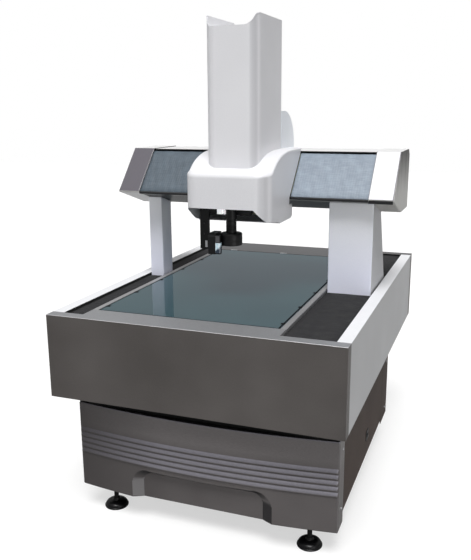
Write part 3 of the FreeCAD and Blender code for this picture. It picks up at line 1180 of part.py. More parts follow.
def make_probe():
    """Black arm left of the lens, with the laser probe and its window, and two white sockets."""
    arm_front = SLIDE_FRONT - PROBE_ARM_DEPTH
    body_right = OPTICS_X - RING_DIAMETER / 2 - RING_GAP
    body_left = body_right - PROBE_WIDTH
    top = PROBE_BOTTOM + PROBE_HEIGHT
    tie_low = SLIDE_BOTTOM + LAMP_GAP / 4
    tie_top = tie_low + PROBE_TIE_HEIGHT
    arm = block(PROBE_LEFT, PROBE_LEFT + PROBE_ARM_WIDTH, arm_front, SLIDE_FRONT, PROBE_BOTTOM + FOOT_EDGE, tie_top)
    backing = block(PROBE_LEFT, body_left + PROBE_BACKING, arm_front, SLIDE_FRONT, PROBE_BOTTOM + FOOT_EDGE,
                    top - PROBE_CORNER)
    tie = block(PROBE_LEFT, SLIDE_LEFT, SLIDE_FRONT, SLIDE_BACK, tie_low, tie_top)
    save("probe_bracket", fuse([arm, tie, backing]))
    front = arm_front - PROBE_DEPTH
    shape = [(front, PROBE_BOTTOM), (arm_front, PROBE_BOTTOM), (arm_front, top), (front + PROBE_CORNER, top),
             (front, top - PROBE_CORNER)]
    body = side_prism(shape, body_left, body_right)
    snout_right = body_right + SNOUT_WIDTH
    snout_front = front - WINDOW_EDGE
    snout_back = OPTICS_Y - RING_DIAMETER / 2 + RING_GAP
    snout_low = PROBE_BOTTOM + WINDOW_EDGE
    save("laser_probe", body,
         block(body_right, snout_right, snout_front, snout_back, snout_low, snout_low + SNOUT_HEIGHT))
    left = body_right + WINDOW_EDGE
    edge = snout_right - WINDOW_EDGE
    low = snout_low + 2 * WINDOW_EDGE
    middle = low + WINDOW_HEIGHT + 2 * WINDOW_EDGE
    save("probe_window", block(left, edge, snout_front - WINDOW_THICKNESS, snout_front, low, low + WINDOW_HEIGHT),
         block(left, edge, snout_front - WINDOW_THICKNESS / 2, snout_front, middle, middle + FACE_HEIGHT))
    sockets = []
    x = SLIDE_LEFT - SOCKET_BLOCK_LEFT
    for width in SOCKET_BLOCK_WIDTHS:
        sockets.append(block(x, x + width, arm_front, SLIDE_FRONT, tie_low, tie_low + SOCKET_BLOCK_HEIGHT))
        x += width + SOCKET_BLOCK_GAP
    save("cable_sockets", *sockets)


def main():
    os.makedirs("parts", exist_ok=True)
    make_frame()
    make_bed()
    make_way_drive()
    make_feet()
    make_front_cover()
    make_other_covers()
    make_fasteners()
    make_inlet()
    make_housing()
    make_stage()
    make_way_bellows()
    make_columns()
    make_saddles()
    make_beam()
    make_end_caps()
    make_beam_drive()
    make_beam_bellows()
    make_carriage()
    make_carriage_blocks()
    make_head_cover()
    make_tower_cover()
    make_rear_cover()
    make_tower_drive()
    make_slide()
    make_slide_blocks()
    make_optics()
    make_probe()


main()
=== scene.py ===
"""Looks of the gantry vision measuring machine: finished surfaces, folded covers, bellows and optics.

Places are written in millimetres as in the part's source: x from the housing's middle, y from its front
face and z from the stage top. at() turns them into the frame's metres.
"""

import json
import math
from contextlib import contextmanager

import bmesh
import bpy
from mathutils import Matrix, Vector
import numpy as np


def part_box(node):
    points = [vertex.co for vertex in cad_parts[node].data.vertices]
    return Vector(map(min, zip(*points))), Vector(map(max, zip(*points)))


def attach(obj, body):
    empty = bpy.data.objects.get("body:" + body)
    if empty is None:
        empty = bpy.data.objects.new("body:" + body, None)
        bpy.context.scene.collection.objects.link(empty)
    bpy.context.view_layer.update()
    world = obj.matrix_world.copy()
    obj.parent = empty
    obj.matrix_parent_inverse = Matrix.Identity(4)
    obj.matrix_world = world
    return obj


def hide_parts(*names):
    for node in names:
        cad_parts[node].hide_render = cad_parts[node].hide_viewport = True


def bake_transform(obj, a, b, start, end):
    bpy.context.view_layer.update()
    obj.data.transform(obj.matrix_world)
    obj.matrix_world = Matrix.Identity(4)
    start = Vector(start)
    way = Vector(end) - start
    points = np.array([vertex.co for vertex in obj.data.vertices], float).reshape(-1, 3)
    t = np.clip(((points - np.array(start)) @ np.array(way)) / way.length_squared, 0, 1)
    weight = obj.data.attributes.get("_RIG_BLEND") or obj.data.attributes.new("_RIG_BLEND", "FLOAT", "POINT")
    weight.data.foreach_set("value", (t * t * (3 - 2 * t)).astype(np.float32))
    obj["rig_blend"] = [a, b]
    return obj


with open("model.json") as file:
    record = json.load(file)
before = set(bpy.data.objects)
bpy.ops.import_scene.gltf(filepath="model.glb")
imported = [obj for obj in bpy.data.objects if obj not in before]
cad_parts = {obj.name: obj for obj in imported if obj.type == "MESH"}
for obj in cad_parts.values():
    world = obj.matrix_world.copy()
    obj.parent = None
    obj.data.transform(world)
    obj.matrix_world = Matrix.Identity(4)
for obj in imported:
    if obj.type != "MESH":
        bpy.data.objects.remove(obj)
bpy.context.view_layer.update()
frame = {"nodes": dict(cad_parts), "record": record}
BODIES = frame["record"]["behaviour"]["bodies"]
BODY = {node: body for body, nodes in BODIES.items() for node in nodes}
DEPTH = 1660.0
STAGE = 885.0
FLOOR = -STAGE
SHEET = 3.0
BEAM_LOW = (672.0, 402.0)
BEAM_CREST = (842.0, 586.0)
BEAM_KNEE = (907.0, 330.0)
BEAM_REAR = 1095.0
SLANT_LENGTH = math.hypot(BEAM_CREST[0] - BEAM_LOW[0], BEAM_CREST[1] - BEAM_LOW[1])
SLANT = math.atan2(BEAM_CREST[1] - BEAM_LOW[1], BEAM_CREST[0] - BEAM_LOW[0])
SLANT_UP = Vector((0, math.cos(SLANT), math.sin(SLANT)))
SLANT_OUT = Vector((0, -math.sin(SLANT), math.cos(SLANT)))


def at(x, y, z):
    """Frame place, in metres, of a point in millimetres."""
    return Vector((x / 1000, (y - DEPTH / 2) / 1000, (z + STAGE) / 1000))


def back(point):
    """Millimetre place of a frame point."""
    return point.x * 1000, point.y * 1000 + DEPTH / 2, point.z * 1000 - STAGE


# Camera, floor and light

PICTURE_HEIGHT = 560
FOCAL_PIXELS = 712.93
CAMERA_PLACE = (1027.0, -2217.5, 770.0)
CAMERA_ANGLES = (20.6, 13.56, -0.35)
AMBIENT = 0.4
HORIZON = 0.36
LAMP = 2.9
LAMP_FROM = (0.12, -0.41, 0.90)
CARD = 30.0
CARD_PLACE = (3.2, -3.0, 0.9)
CARD_AIM = (0, 0, 0.7)
FLOOR_TONE = 0.42
FLOOR_LIFT = 0.6
FLOOR_HALF = 16.0


def make_camera():
    """Camera where the photograph was taken from."""
    azimuth, elevation, roll = (math.radians(angle) for angle in CAMERA_ANGLES)
    level = math.cos(elevation)
    out = Vector((math.sin(azimuth) * level, -math.cos(azimuth) * level, math.sin(elevation)))
    right = Vector((math.cos(azimuth), math.sin(azimuth), 0))
    up = out.cross(right)
    right, up = right * math.cos(roll) + up * math.sin(roll), up * math.cos(roll) - right * math.sin(roll)
    data = bpy.data.cameras.new("camera")
    data.sensor_width = 36
    data.lens = data.sensor_width * FOCAL_PIXELS / PICTURE_HEIGHT
    camera = link("camera", data)
    turned = Matrix((right, up, out)).transposed().to_4x4()
    camera.matrix_world = Matrix.Translation(at(*CAMERA_PLACE)) @ turned
    bpy.context.scene.camera = camera


def hang(light, way):
    """Adds a light that shines from a way."""
    holder = link(light.name, light)
    holder.rotation_mode = "QUATERNION"
    holder.rotation_quaternion = Vector(way).to_track_quat("Z", "Y")
    return holder


def make_light():
    """Pale surroundings, a broad soft lamp above and in front, a card for the gloss, a pale floor."""
    scene = bpy.context.scene
    scene.view_settings.view_transform = "Standard"
    world = bpy.data.worlds.new("studio")
    scene.world = world
    world.use_nodes = True
    sky = Graph(world.node_tree)
    path = sky.add("LightPath")
    seen = sky.maths("MAXIMUM", path["Is Camera Ray"], path["Is Transmission Ray"])
    heading = sky.add("SeparateXYZ", {0: sky.add("TexCoord")["Generated"]})
    rising = sky.spread(heading["Z"], HORIZON, 1.0, 0.3, 0.8)
    mirrored = sky.add("Mix", {"Factor": path["Is Glossy Ray"], 2: AMBIENT, 3: rising})[0]
    strength = sky.add("Mix", {"Factor": seen, 2: mirrored, 3: 1.0})[0]
    background = sky.nodes["Background"]
    sky.feed(background.inputs["Color"], (1.0, 1.0, 1.0, 1.0))
    sky.feed(background.inputs["Strength"], strength)
    lamp = bpy.data.lights.new("soft_lamp", "SUN")
    lamp.energy = LAMP
    lamp.angle = math.radians(30)
    lamp.color = (1.0, 0.998, 0.992)
    hang(lamp, LAMP_FROM)
    card = bpy.data.lights.new("gloss_card", "AREA")
    card.shape = "RECTANGLE"
    card.size, card.size_y = 2.4, 2.2
    card.energy = CARD
    holder = hang(card, Vector(CARD_PLACE) - Vector(CARD_AIM))
    holder.location = CARD_PLACE
    holder.visible_diffuse = holder.visible_camera = holder.visible_transmission = False

    mesh = bpy.data.meshes.new("floor")
    half = FLOOR_HALF
    corners = [(-half, -half, 0), (half, -half, 0), (half, half, 0), (-half, half, 0)]
    mesh.from_pydata(corners, [], [(0, 1, 2, 3)])
    floor = link("floor", mesh)
    pale = Surface("pale_floor")
    pale.set(Base_Color=(FLOOR_TONE, FLOOR_TONE, FLOOR_TONE, 1), Roughness=0.9, Specular_IOR_Level=0.1)
    lift = pale.spread(pale.add("LightPath")["Is Camera Ray"], 0.0, FLOOR_LIFT, 0.0, 1.0)
    glow = pale.add("Emission", {"Strength": lift})[0]
    total = pale.add("AddShader", {0: pale.shader.outputs[0], 1: glow})[0]
    pale.feed(pale.nodes["Material Output"].inputs["Surface"], total)
    mesh.materials.append(pale.material)


# Materials

def linear(colour):
    """Scene colour of an 8-bit screen colour."""
    done = []
    for value in colour:
        share = value / 255
        done.append(share / 12.92 if share <= 0.04045 else ((share + 0.055) / 1.055) ** 2.4)
    return (*done, 1.0)


class Graph:
    """Node tree with short ways to add and link nodes."""

    def __init__(self, tree):
        self.nodes, self.links = tree.nodes, tree.links

    def feed(self, socket, value):
        """Sets a socket to a plain value or links it to another node's output."""
        if isinstance(value, (int, float, tuple)):
            socket.default_value = value
        else:
            self.links.new(value, socket)

    def add(self, kind, inputs=None, **settings):
        """Outputs of a new node with the given settings, and inputs by name or number."""
        node = self.nodes.new("ShaderNode" + kind)
        for name, value in settings.items():
            setattr(node, name, value)
        for name, value in (inputs or {}).items():
            self.feed(node.inputs[name], value)
        return node.outputs

    def spread(self, source, low, high, start=0.3, end=0.7):
        """Value that runs from low to high while the source runs from start to end."""
        ends = {"From Min": start, "From Max": end, "To Min": low, "To Max": high}
        return self.add("MapRange", {**ends, "Value": source})[0]

    def share(self, source, start=0.3, end=0.7):
        """Zero to one while the source runs from start to end."""
        return self.spread(source, 0.0, 1.0, start, end)

    def maths(self, kind, a, b):
        return self.add("Math", {0: a, 1: b}, operation=kind)[0]

    def times(self, a, b):
        return self.maths("MULTIPLY", a, b)

    def plus(self, a, b):
        return self.maths("ADD", a, b)


class Surface(Graph):
    """Node graph of one material."""

    def __init__(self, name):
        self.material = bpy.data.materials.new(name)
        self.material.use_nodes = True
        super().__init__(self.material.node_tree)
        self.shader = self.nodes["Principled BSDF"]
        self.place = self.add("TexCoord")["Object"]

    def set(self, **values):
        for name, value in values.items():
            self.shader.inputs[name.replace("_", " ")].default_value = value

    def join(self, source, name):
        self.links.new(source, self.shader.inputs[name])

    def noise(self, scale, stretch=(1, 1, 1), detail=3.0, sharp=0.5):
        turned = self.add("Mapping", {"Scale": stretch, "Vector": self.place})[0]
        sizes = {"Scale": scale, "Detail": detail, "Roughness": sharp}
        return self.add("TexNoise", {**sizes, "Vector": turned})["Fac"]

    def grained(self, source, dark, light):
        """Colour that wanders between two tones with a noise."""
        return self.blend(self.share(source), dark, light)

    def blend(self, share, a, b):
        """Colour between a and b; each is a screen colour or another node's output."""
        a, b = (linear(value) if isinstance(value, tuple) else value for value in (a, b))
        return self.add("Mix", {"Factor": share, 6: a, 7: b}, data_type="RGBA")[2]

    def alike(self, a, b):
        """Dot product of two directions."""
        return self.add("VectorMath", {0: a, 1: b}, operation="DOT_PRODUCT")["Value"]

    def facing(self, way, start, end):
        """Share that rises where the surface faces a way."""
        return self.share(self.alike(self.add("NewGeometry")["Normal"], tuple(way)), start, end)

    def axis(self, name):
        """Frame place along one axis, in metres."""
        return self.add("SeparateXYZ", {0: self.place})[name]

    def edges(self, radius, start=0.03, end=0.3):
        """Share that rises near a sharp edge, with the rounded normal."""
        normal = self.add("Bevel", {"Radius": radius}, samples=4)[0]
        turn = self.maths("SUBTRACT", 1.0, self.alike(normal, self.add("NewGeometry")["Normal"]))
        return self.share(turn, start, end), normal

    def bump(self, height, strength, distance, normal=None):
        inputs = {"Strength": strength, "Distance": distance, "Height": height}
        if normal is not None:
            inputs["Normal"] = normal
        self.join(self.add("Bump", inputs)[0], "Normal")

    def finish(self, colour, gloss, rough, height, strength, depth, normal=None):
        """Links the colour, a roughness that wanders between two values, and the bump."""
        self.join(colour, "Base Color")
        self.join(self.spread(gloss, *rough), "Roughness")
        self.bump(height, strength, depth, normal)
        return self.material


def coated(name, dark, light, rough, grain=260, stretch=(1, 1, 1), metal=0.0, depth=0.00006, cloud=3.0,
           zones=(), wear_and_highlight=None, edge=0.001, **sockets):
    """Painted, brushed or moulded surface: cloudy tone, fine grain, uneven gloss and lighter edges that are
    partly edge wear and partly a painted edge highlight.

    A zone has a facing way or an axis name, the values where it starts and ends, and its two tones; the zones
    in this script mostly carry painted light and shade.
    """
    made = Surface(name)
    made.set(Metallic=metal, **sockets)
    fine = made.noise(grain, stretch, 4.0, 0.6)
    broad = made.noise(cloud, (1, 1, 1), 2.0)
    tone = made.plus(made.times(fine, 0.35), made.times(broad, 0.65))
    colour = made.blend(made.share(tone, 0.36, 0.64), dark, light)
    brushed = made.noise(90, (0.6, 12, 12), 4.0, 0.6) if zones else None
    for way, start, end, low, high in zones:
        if isinstance(way, str):
            share = made.share(made.axis(way), start, end)
        else:
            share = made.facing(way, start, end)
        colour = made.blend(share, colour, made.grained(brushed, low, high))
    normal = None
    # lighter edges, broken by noise: partly edge wear, partly a painted edge highlight
    if wear_and_highlight:
        share, normal = made.edges(edge)
        broken = made.times(share, made.spread(made.noise(35, (1, 1, 1), 4.0), 0.25, 0.9))
        colour = made.blend(broken, colour, wear_and_highlight)
    return made.finish(colour, fine, rough, fine, 0.5, depth, normal)


def make_stone():
    """Ground black granite with pale crystals."""
    made = Surface("granite")
    cells = made.add("TexVoronoi", {"Scale": 420, "Vector": made.place})["Distance"]
    flecks = made.spread(cells, 1.0, 0.0, 0.05, 0.35)
    tone = made.times(flecks, made.share(made.noise(160, detail=4.0), 0.5, 0.7))
    colour = made.blend(tone, (46, 46, 48), (128, 127, 126))
    return made.finish(colour, made.noise(300), (0.28, 0.45), cells, 0.15, 0.0002)


def make_fabric(name, dark, light, rough, along, weave=900.0, sheen=0.2):
    """Coated bellows cloth: fine cross weave, dusty folds and uneven tone along the pleats."""
    made = Surface(name)
    made.set(Sheen_Weight=sheen, Sheen_Roughness=0.5)
    threads = []
    for direction in ("X", along):
        wave = {"Scale": weave / 6.28, "Distortion": 0.6, "Vector": made.place}
        threads.append(made.add("TexWave", wave, bands_direction=direction)["Fac"])
    cloth = made.times(threads[0], threads[1])
    patch = made.noise(26, (1, 1, 1), 4.0, 0.6)
    streak = made.noise(60, (0.4, 4, 4), 3.0, 0.6)
    tone = made.plus(made.times(patch, 0.5), made.times(streak, 0.5))
    tone = made.plus(tone, made.times(cloth, 0.08))
    colour = made.blend(made.share(tone, 0.38, 0.68), dark, light)
    height = made.plus(made.times(cloth, 0.3), made.times(patch, 2.0))
    return made.finish(colour, patch, rough, height, 0.5, 0.0003)


def make_glass():
    """Tinted stage glass over a dark bed, with a faint teal glow that paints the tint into the shadowed
    parts.
    """
    made = Surface("stage_glass")
    # painted light: faint teal emission so the tint shows in shade too
    made.set(IOR=1.5, Emission_Color=(0.012, 0.028, 0.041, 1.0), Emission_Strength=1.0)
    colour = made.grained(made.noise(4), (20, 46, 47), (28, 56, 57))
    return made.finish(colour, made.noise(60), (0.015, 0.05), made.noise(1.6), 0.12, 0.0006)


def make_cap_metal():
    """Brushed sheet: even on the slanted front, painted light on top, darker upwards on the other faces, and
    painted light and shade on the edges and underside.
    """
    made = Surface("cap_metallic")
    made.set(Metallic=0.35)
    grain = made.noise(240, (3, 3, 0.35), 4.0, 0.6)
    front = made.grained(grain, (90, 87, 94), (100, 97, 104))
    streak = made.times(made.noise(26, (1.0, 1.6, 0.05), 4.0, 0.65), 0.6)
    fall = made.times(made.share(made.axis("Z"), 1.47, 1.27), 0.6)
    tone = made.share(made.plus(streak, fall), 0.3, 0.8)
    side = made.blend(tone, (50, 48, 45), (196, 195, 192))
    colour = made.blend(made.facing(SLANT_OUT, 0.85, 0.98), side, front)
    calm = made.grained(grain, (120, 118, 118), (132, 130, 130))
    for way in ((0, 1, 0), (-1, 0, 0)):
        colour = made.blend(made.facing(way, 0.7, 0.95), colour, calm)
    share, normal = made.edges(0.0022)
    # painted light and shade: the left cap's edges and underside lighter, the right cap's darker
    to_right = made.share(made.axis("X"), -0.1, 0.1)
    rim = made.blend(to_right, (166, 164, 168), (76, 74, 72))
    below = made.blend(to_right, (226, 225, 226), (190, 188, 184))
    colour = made.blend(share, colour, rim)
    colour = made.blend(made.facing((0, 0, -1), 0.7, 0.95), colour, below)
    # painted light: up-facing faces near white
    colour = made.blend(made.facing((0, 0, 1), 0.85, 0.98), colour, (252, 252, 252))
    return made.finish(colour, grain, (0.3, 0.44), grain, 0.5, 0.00006, normal)


def make_column_paint():
    """White paint, bluer towards the foot as painted light, with painted shade on the right column's right
    face and a painted glow on the upper fronts under the beam.
    """
    made = Surface("column_white")
    fine = made.noise(340, (1, 1, 1), 4.0, 0.6)
    upper = made.grained(fine, (238, 240, 246), (245, 247, 252))
    lower = made.grained(fine, (232, 235, 252), (239, 241, 255))
    share, normal = made.edges(0.0012)
    height, across = made.axis("Z"), made.axis("X")
    # painted light: cooler, bluer tone towards the foot
    colour = made.blend(made.share(height, 1.2, 0.95), upper, lower)
    # painted shade on the right column's right face
    to_right = made.share(across, 0.2, 0.3)
    flank = made.times(made.facing((1, 0, 0), 0.5, 0.9), to_right)
    colour = made.blend(flank, colour, (186, 187, 191))
    colour = made.blend(share, colour, (206, 208, 214))
    # painted light: faint glow on the upper fronts where the beam throws its shadow
    high = made.share(height, 1.08, 1.26)
    painted_glow_share = made.times(made.facing((0, -1, 0), 0.5, 0.9), high)
    made.set(Emission_Color=linear((255, 255, 255)))
    made.join(made.times(painted_glow_share, 0.09), "Emission Strength")
    return made.finish(colour, fine, (0.34, 0.46), fine, 0.5, 0.00006, normal)


def make_window():
    """Clear probe glass with painted sharp pale and dark reflections inside it."""
    made = Surface("probe_window_glass")
    made.set(Coat_Weight=0.6)
    # painted reflection: a sharp split between a pale glint and a dark reflection
    slope = made.maths("SUBTRACT", made.axis("Z"), made.axis("X"))
    slope = made.plus(slope, made.times(made.noise(90, detail=1.0), 0.02))
    facet = made.share(slope, 1.143, 1.151)
    glint_tone = made.grained(made.noise(120, (1, 1, 1), 1.0), (190, 224, 240), (244, 250, 252))
    colour = made.blend(facet, (16, 40, 60), glint_tone)
    return made.finish(colour, made.noise(300), (0.04, 0.1), made.noise(90), 0.1, 0.0002)


def make_emitter(name, dark, light, glow):
    """Pale translucent plastic that shines a little: the lamps' own light, and a painted glow on the cable
    sockets.
    """
    made = Surface(name)
    made.set(Subsurface_Weight=0.2, Emission_Strength=glow, Roughness=0.35)
    tone = made.grained(made.noise(120), dark, light)
    made.join(tone, "Base Color")
    made.join(tone, "Emission Color")
    made.bump(made.noise(500), 0.2, 0.0001)
    return made.material


SKIN = {}


def make_materials():
    """All surfaces, under the names that the pieces ask for."""
    grain = (1, 1, 1.6)
    up, down = (0, 0, 1), (0, 0, -1)
    # painted light: up-facing faces of the housing get a lighter tone, as if lit from above
    top = (up, 0.35, 0.9, (134, 135, 138), (158, 159, 162))
    # painted highlight along the rounded front-top edge of the housing
    painted_brim_highlight = ((0, -0.6, 0.8), 0.9, 0.97, (226, 226, 228), (246, 246, 248))
    # painted light: a dimmer lighter tone on the rear housing's up-facing faces
    rear_top_light = (up, 0.35, 0.9, (86, 86, 88), (104, 104, 106))
    # painted light: the side panels' tops near white
    panel_top_light = (up, 0.35, 0.9, (226, 227, 230), (238, 239, 242))
    # cabinet tones: the first is lighter above the ribs; the rest are painted light and shade
    cabinet_zones = (("Z", 0.36, 0.4, (112, 108, 108), (128, 124, 124)),
                     # painted light on the up-facing halves of the ribs
                     (up, 0.05, 0.3, (118, 116, 124), (140, 138, 146)),
                     # painted reflection: darker towards the left end of the bowed front
                     ("X", -0.15, -0.68, (56, 52, 52), (64, 60, 60)),
                     # painted light on the arch's left flank
                     ((0.44, -0.9, 0), 0.975, 0.995, (122, 120, 121), (134, 132, 133)),
                     # painted shade on the arch's right flank
                     ((-0.44, -0.9, 0), 0.975, 0.995, (40, 38, 40), (46, 44, 46)),
                     # painted shade on down-facing faces
                     (down, 0.25, 0.6, (36, 34, 36), (42, 40, 42)))
    SKIN.update(
        housing=coated("housing_metallic", (84, 80, 78), (100, 96, 94), (0.34, 0.48), 420, grain, 0.45,
                       zones=(top, painted_brim_highlight), wear_and_highlight=(196, 194, 192), edge=0.0016),
        rear_housing=coated("rear_housing_metallic", (84, 80, 78), (100, 96, 94), (0.34, 0.48), 420, grain,
                            0.45, zones=(rear_top_light,), wear_and_highlight=(150, 148, 146), edge=0.0012),
        plate=coated("stage_plate", (104, 105, 108), (123, 124, 127), (0.3, 0.44), 90, (0.6, 12, 12), 0.45,
                     wear_and_highlight=(170, 170, 172), edge=0.0008),
        # panel faces greyer than their tops: painted shade on the side faces
        panel=coated("panel_paint", (184, 185, 187), (196, 197, 199), (0.34, 0.5), 320, cloud=2.0,
                     zones=(panel_top_light,), wear_and_highlight=(206, 206, 208)),
        cabinet=coated("cabinet_metallic", (92, 88, 88), (109, 105, 105), (0.32, 0.46), 420, grain, 0.45,
                       zones=cabinet_zones, wear_and_highlight=(150, 148, 150), edge=0.0012),
        cabinet_side=coated("cabinet_side_metallic", (62, 50, 45), (76, 64, 58), (0.5, 0.65), 420, grain,
                            0.15, wear_and_highlight=(96, 88, 84), edge=0.0012, Specular_IOR_Level=0.12),
        black=coated("matte_black", (14, 14, 15), (22, 22, 24), (0.45, 0.7), 300,
                     wear_and_highlight=(44, 44, 46)),
        primer=coated("cast_primer", (100, 103, 84), (118, 120, 102), (0.5, 0.7), 180, depth=0.0002,
                      wear_and_highlight=(130, 132, 118)),
        optics=coated("anodised_black", (11, 11, 12), (19, 19, 21), (0.3, 0.45), 520, metal=0.1,
                      wear_and_highlight=(60, 60, 64), edge=0.0006, Specular_IOR_Level=0.3),
        # painted shade on the head's and tower's corners that face front-right
        white=coated("cover_white", (224, 224, 228), (236, 236, 239), (0.3, 0.42), 340, depth=0.00004,
                     cloud=2.0, zones=(((0.62, -0.78, 0), 0.9, 0.99, (194, 194, 198), (202, 202, 206)),)),
        # lighter, cooler copy of the white cover paint for the rear cover: painted light
        rear_white=coated("rear_cover_white_painted_light", (236, 240, 246), (244, 248, 254), (0.3, 0.42), 340,
                          depth=0.00004, cloud=2.0),
        column=make_column_paint(),
        cap=make_cap_metal(),
        strip=coated("strip_anodised", (142, 142, 144), (162, 162, 164), (0.3, 0.42), 260, (6, 0.3, 6), 0.4,
                     wear_and_highlight=(190, 190, 190)),
        steel=coated("ground_steel", (158, 158, 160), (190, 190, 192), (0.18, 0.3), 420, (1, 0.2, 1), 1.0,
                     wear_and_highlight=(228, 228, 230), edge=0.0008),
        aluminium=coated("machined_aluminium", (176, 177, 180), (202, 203, 206), (0.26, 0.4), 420,
                         (0.3, 3, 3), 0.8, wear_and_highlight=(226, 226, 228)),
        drive=coated("drive_black", (26, 26, 29), (42, 42, 46), (0.35, 0.5), 300,
                     wear_and_highlight=(100, 100, 102)),
        lip=coated("lip_black", (13, 14, 16), (20, 21, 24), (0.25, 0.4), 300, wear_and_highlight=(58, 60, 64), edge=0.0008),
        box=coated("box_grey", (176, 178, 178), (196, 198, 198), (0.4, 0.55), 280,
                   wear_and_highlight=(150, 150, 150)),
        rubber=coated("mount_rubber", (18, 18, 18), (30, 30, 30), (0.7, 0.9), 200, depth=0.0002),
        border=coated("printed_border", (14, 15, 16), (22, 23, 25), (0.75, 0.9), 300,
                      Specular_IOR_Level=0.05),
        plastic=coated("black_plastic", (16, 16, 17), (26, 26, 27), (0.4, 0.55), 600, depth=0.00008),
        foot=coated("foot_black", (6, 6, 7), (12, 12, 14), (0.24, 0.38), 400, metal=0.1,
                    wear_and_highlight=(60, 60, 62), edge=0.0008, Specular_IOR_Level=0.25),
        # the cable sockets glow though they are no lamp: painted light
        socket=make_emitter("socket_white_painted_glow", (226, 226, 228), (240, 240, 242), 0.7),
        stone=make_stone(),
        way_cloth=make_fabric("way_bellows_cloth", (9, 9, 11), (29, 29, 33), (0.7, 0.9), "Y", sheen=0.02),
        # two copies of one beam cloth: darker on the left as painted shade, lighter on the right as painted
        # sheen
        left_cloth=make_fabric("beam_bellows_cloth_left_painted_shade", (62, 74, 84), (84, 97, 108), (0.4, 0.6), "Z",
                               sheen=0.05),
        right_cloth=make_fabric("beam_bellows_cloth_right_painted_sheen", (119, 130, 143), (147, 159, 172), (0.4, 0.6), "Z",
                                sheen=0.05),
        glass=make_glass(),
        lens=coated("lens_coating", (14, 16, 26), (28, 22, 44), (0.02, 0.06), 60, metal=0.2, Coat_Weight=1.0),
        window=make_window(),
        face=coated("probe_face", (64, 64, 67), (80, 80, 83), (0.3, 0.45), 400,
                    wear_and_highlight=(120, 120, 122), edge=0.0006),
        diffuser=make_emitter("diffuser_white", (222, 226, 228), (240, 242, 244), 0.1),
        led=make_emitter("led_white", (240, 240, 232), (255, 255, 250), 0.5))


# Mesh helpers

def link(name, data):
    """Adds an object to the scene."""
    piece = bpy.data.objects.new(name, data)
    bpy.context.scene.collection.objects.link(piece)
    return piece


@contextmanager
def edited(mesh):
    """Opens a mesh for editing and writes it back."""
    work = bmesh.new()
    work.from_mesh(mesh)
    yield work
    work.to_mesh(mesh)
    work.free()


def from_lists(name, points, faces):
    """Object of millimetre points and faces, with the faces turned outward."""
    mesh = bpy.data.meshes.new(name)
    mesh.from_pydata([at(*point) for point in points], [], faces)
    with edited(mesh) as work:
        bmesh.ops.recalc_face_normals(work, faces=work.faces)
    return link(name, mesh)


def strips(rows, wide, closed=False):
    """Faces between neighbouring rows of points; closed rows run full circle."""
    faces = []
    for row in range(rows - 1):
        for step in range(wide if closed else wide - 1):
            a, b = row * wide + step, row * wide + (step + 1) % wide
            faces.append((a, b, b + wide, a + wide))
    return faces


def settle(piece):
    """Applies the piece's modifiers."""
    graph = bpy.context.evaluated_depsgraph_get()
    mesh = bpy.data.meshes.new_from_object(piece.evaluated_get(graph))
    piece.modifiers.clear()
    piece.data = mesh
    return piece


def smooth(piece, angle=32.0):
    """Smooth shading up to an angle."""
    mesh = piece.data
    mesh.polygons.foreach_set("use_smooth", [True] * len(mesh.polygons))
    mesh.set_sharp_from_angle(angle=math.radians(angle))


def even_out(piece):
    """Smooth shading that keeps broad faces flat."""
    smooth(piece)
    normals = piece.modifiers.new("normals", "WEIGHTED_NORMAL")
    normals.keep_sharp = True
    return settle(piece)


def rounded(piece, width, segments, angle=32.0, weighted=False):
    """Rounds the edges, by angle or by their weights."""
    bevel = piece.modifiers.new("rounding", "BEVEL")
    bevel.width = width / 1000
    bevel.segments = segments
    bevel.limit_method = "WEIGHT" if weighted else "ANGLE"
    bevel.angle_limit = math.radians(angle)
    bevel.miter_outer = "MITER_ARC"
    bevel.use_clamp_overlap = True
    return settle(piece)


def round_off(piece, width, segments=3):
    """Rounds all sharp edges and settles the shading."""
    return even_out(rounded(piece, width, segments))


def thicken(piece, wall):
    """Gives an open skin a wall on its inner side."""
    wall_maker = piece.modifiers.new("wall", "SOLIDIFY")
    wall_maker.thickness = wall / 1000
    wall_maker.offset = -1
    wall_maker.use_even_offset = True
    return settle(piece)


def shell(piece, width, segments, rule):
    """Sheet skin of a solid: edges rounded by weight, the faces that the rule picks left out."""
    rounded(piece, width, segments, weighted=True)
    open_up(piece, rule)
    thicken(piece, SHEET)
    return even_out(piece)


def clad(piece, skin, nodes=()):
    """Gives the piece its material and slot, and hides the nodes that it stands for."""
    piece.data.materials.clear()
    piece.data.materials.append(SKIN[skin])
    if nodes:
        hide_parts(*nodes)


def place(piece, skin, body, nodes=()):
    """Clads the piece and lets it ride on a body."""
    clad(piece, skin, nodes)
    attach(piece, body)
    return piece


def gather(name, parts, skin, body, nodes=(), angle=32.0):
    """One smooth piece made of several, placed like the others."""
    piece = join(name, parts)
    smooth(piece, angle)
    return place(piece, skin, body, nodes)


def prism(name, points, axis, a, b):
    """Closed prism of an outline along an axis: 0 takes (y, z) points, 1 (x, z) and 2 (x, y)."""
    def spot(point, value):
        u, v = point
        return ((value, u, v), (u, value, v), (u, v, value))[axis]
    count = len(points)
    corners = [spot(point, a) for point in points] + [spot(point, b) for point in points]
    faces = [tuple(range(count)), tuple(range(2 * count - 1, count - 1, -1))]
    for index in range(count):
        after = (index + 1) % count
        faces.append((index, after, after + count, index + count))
    return from_lists(name, corners, faces)


def carve(piece, cutter, kind):
    """Boolean of two closed pieces; the cutter is used up."""
    tool = piece.modifiers.new("carve", "BOOLEAN")
    tool.operation = kind
    tool.solver = "EXACT"
    tool.object = cutter
    settle(piece)
    mesh = cutter.data
    bpy.data.objects.remove(cutter)
    bpy.data.meshes.remove(mesh)
    return piece


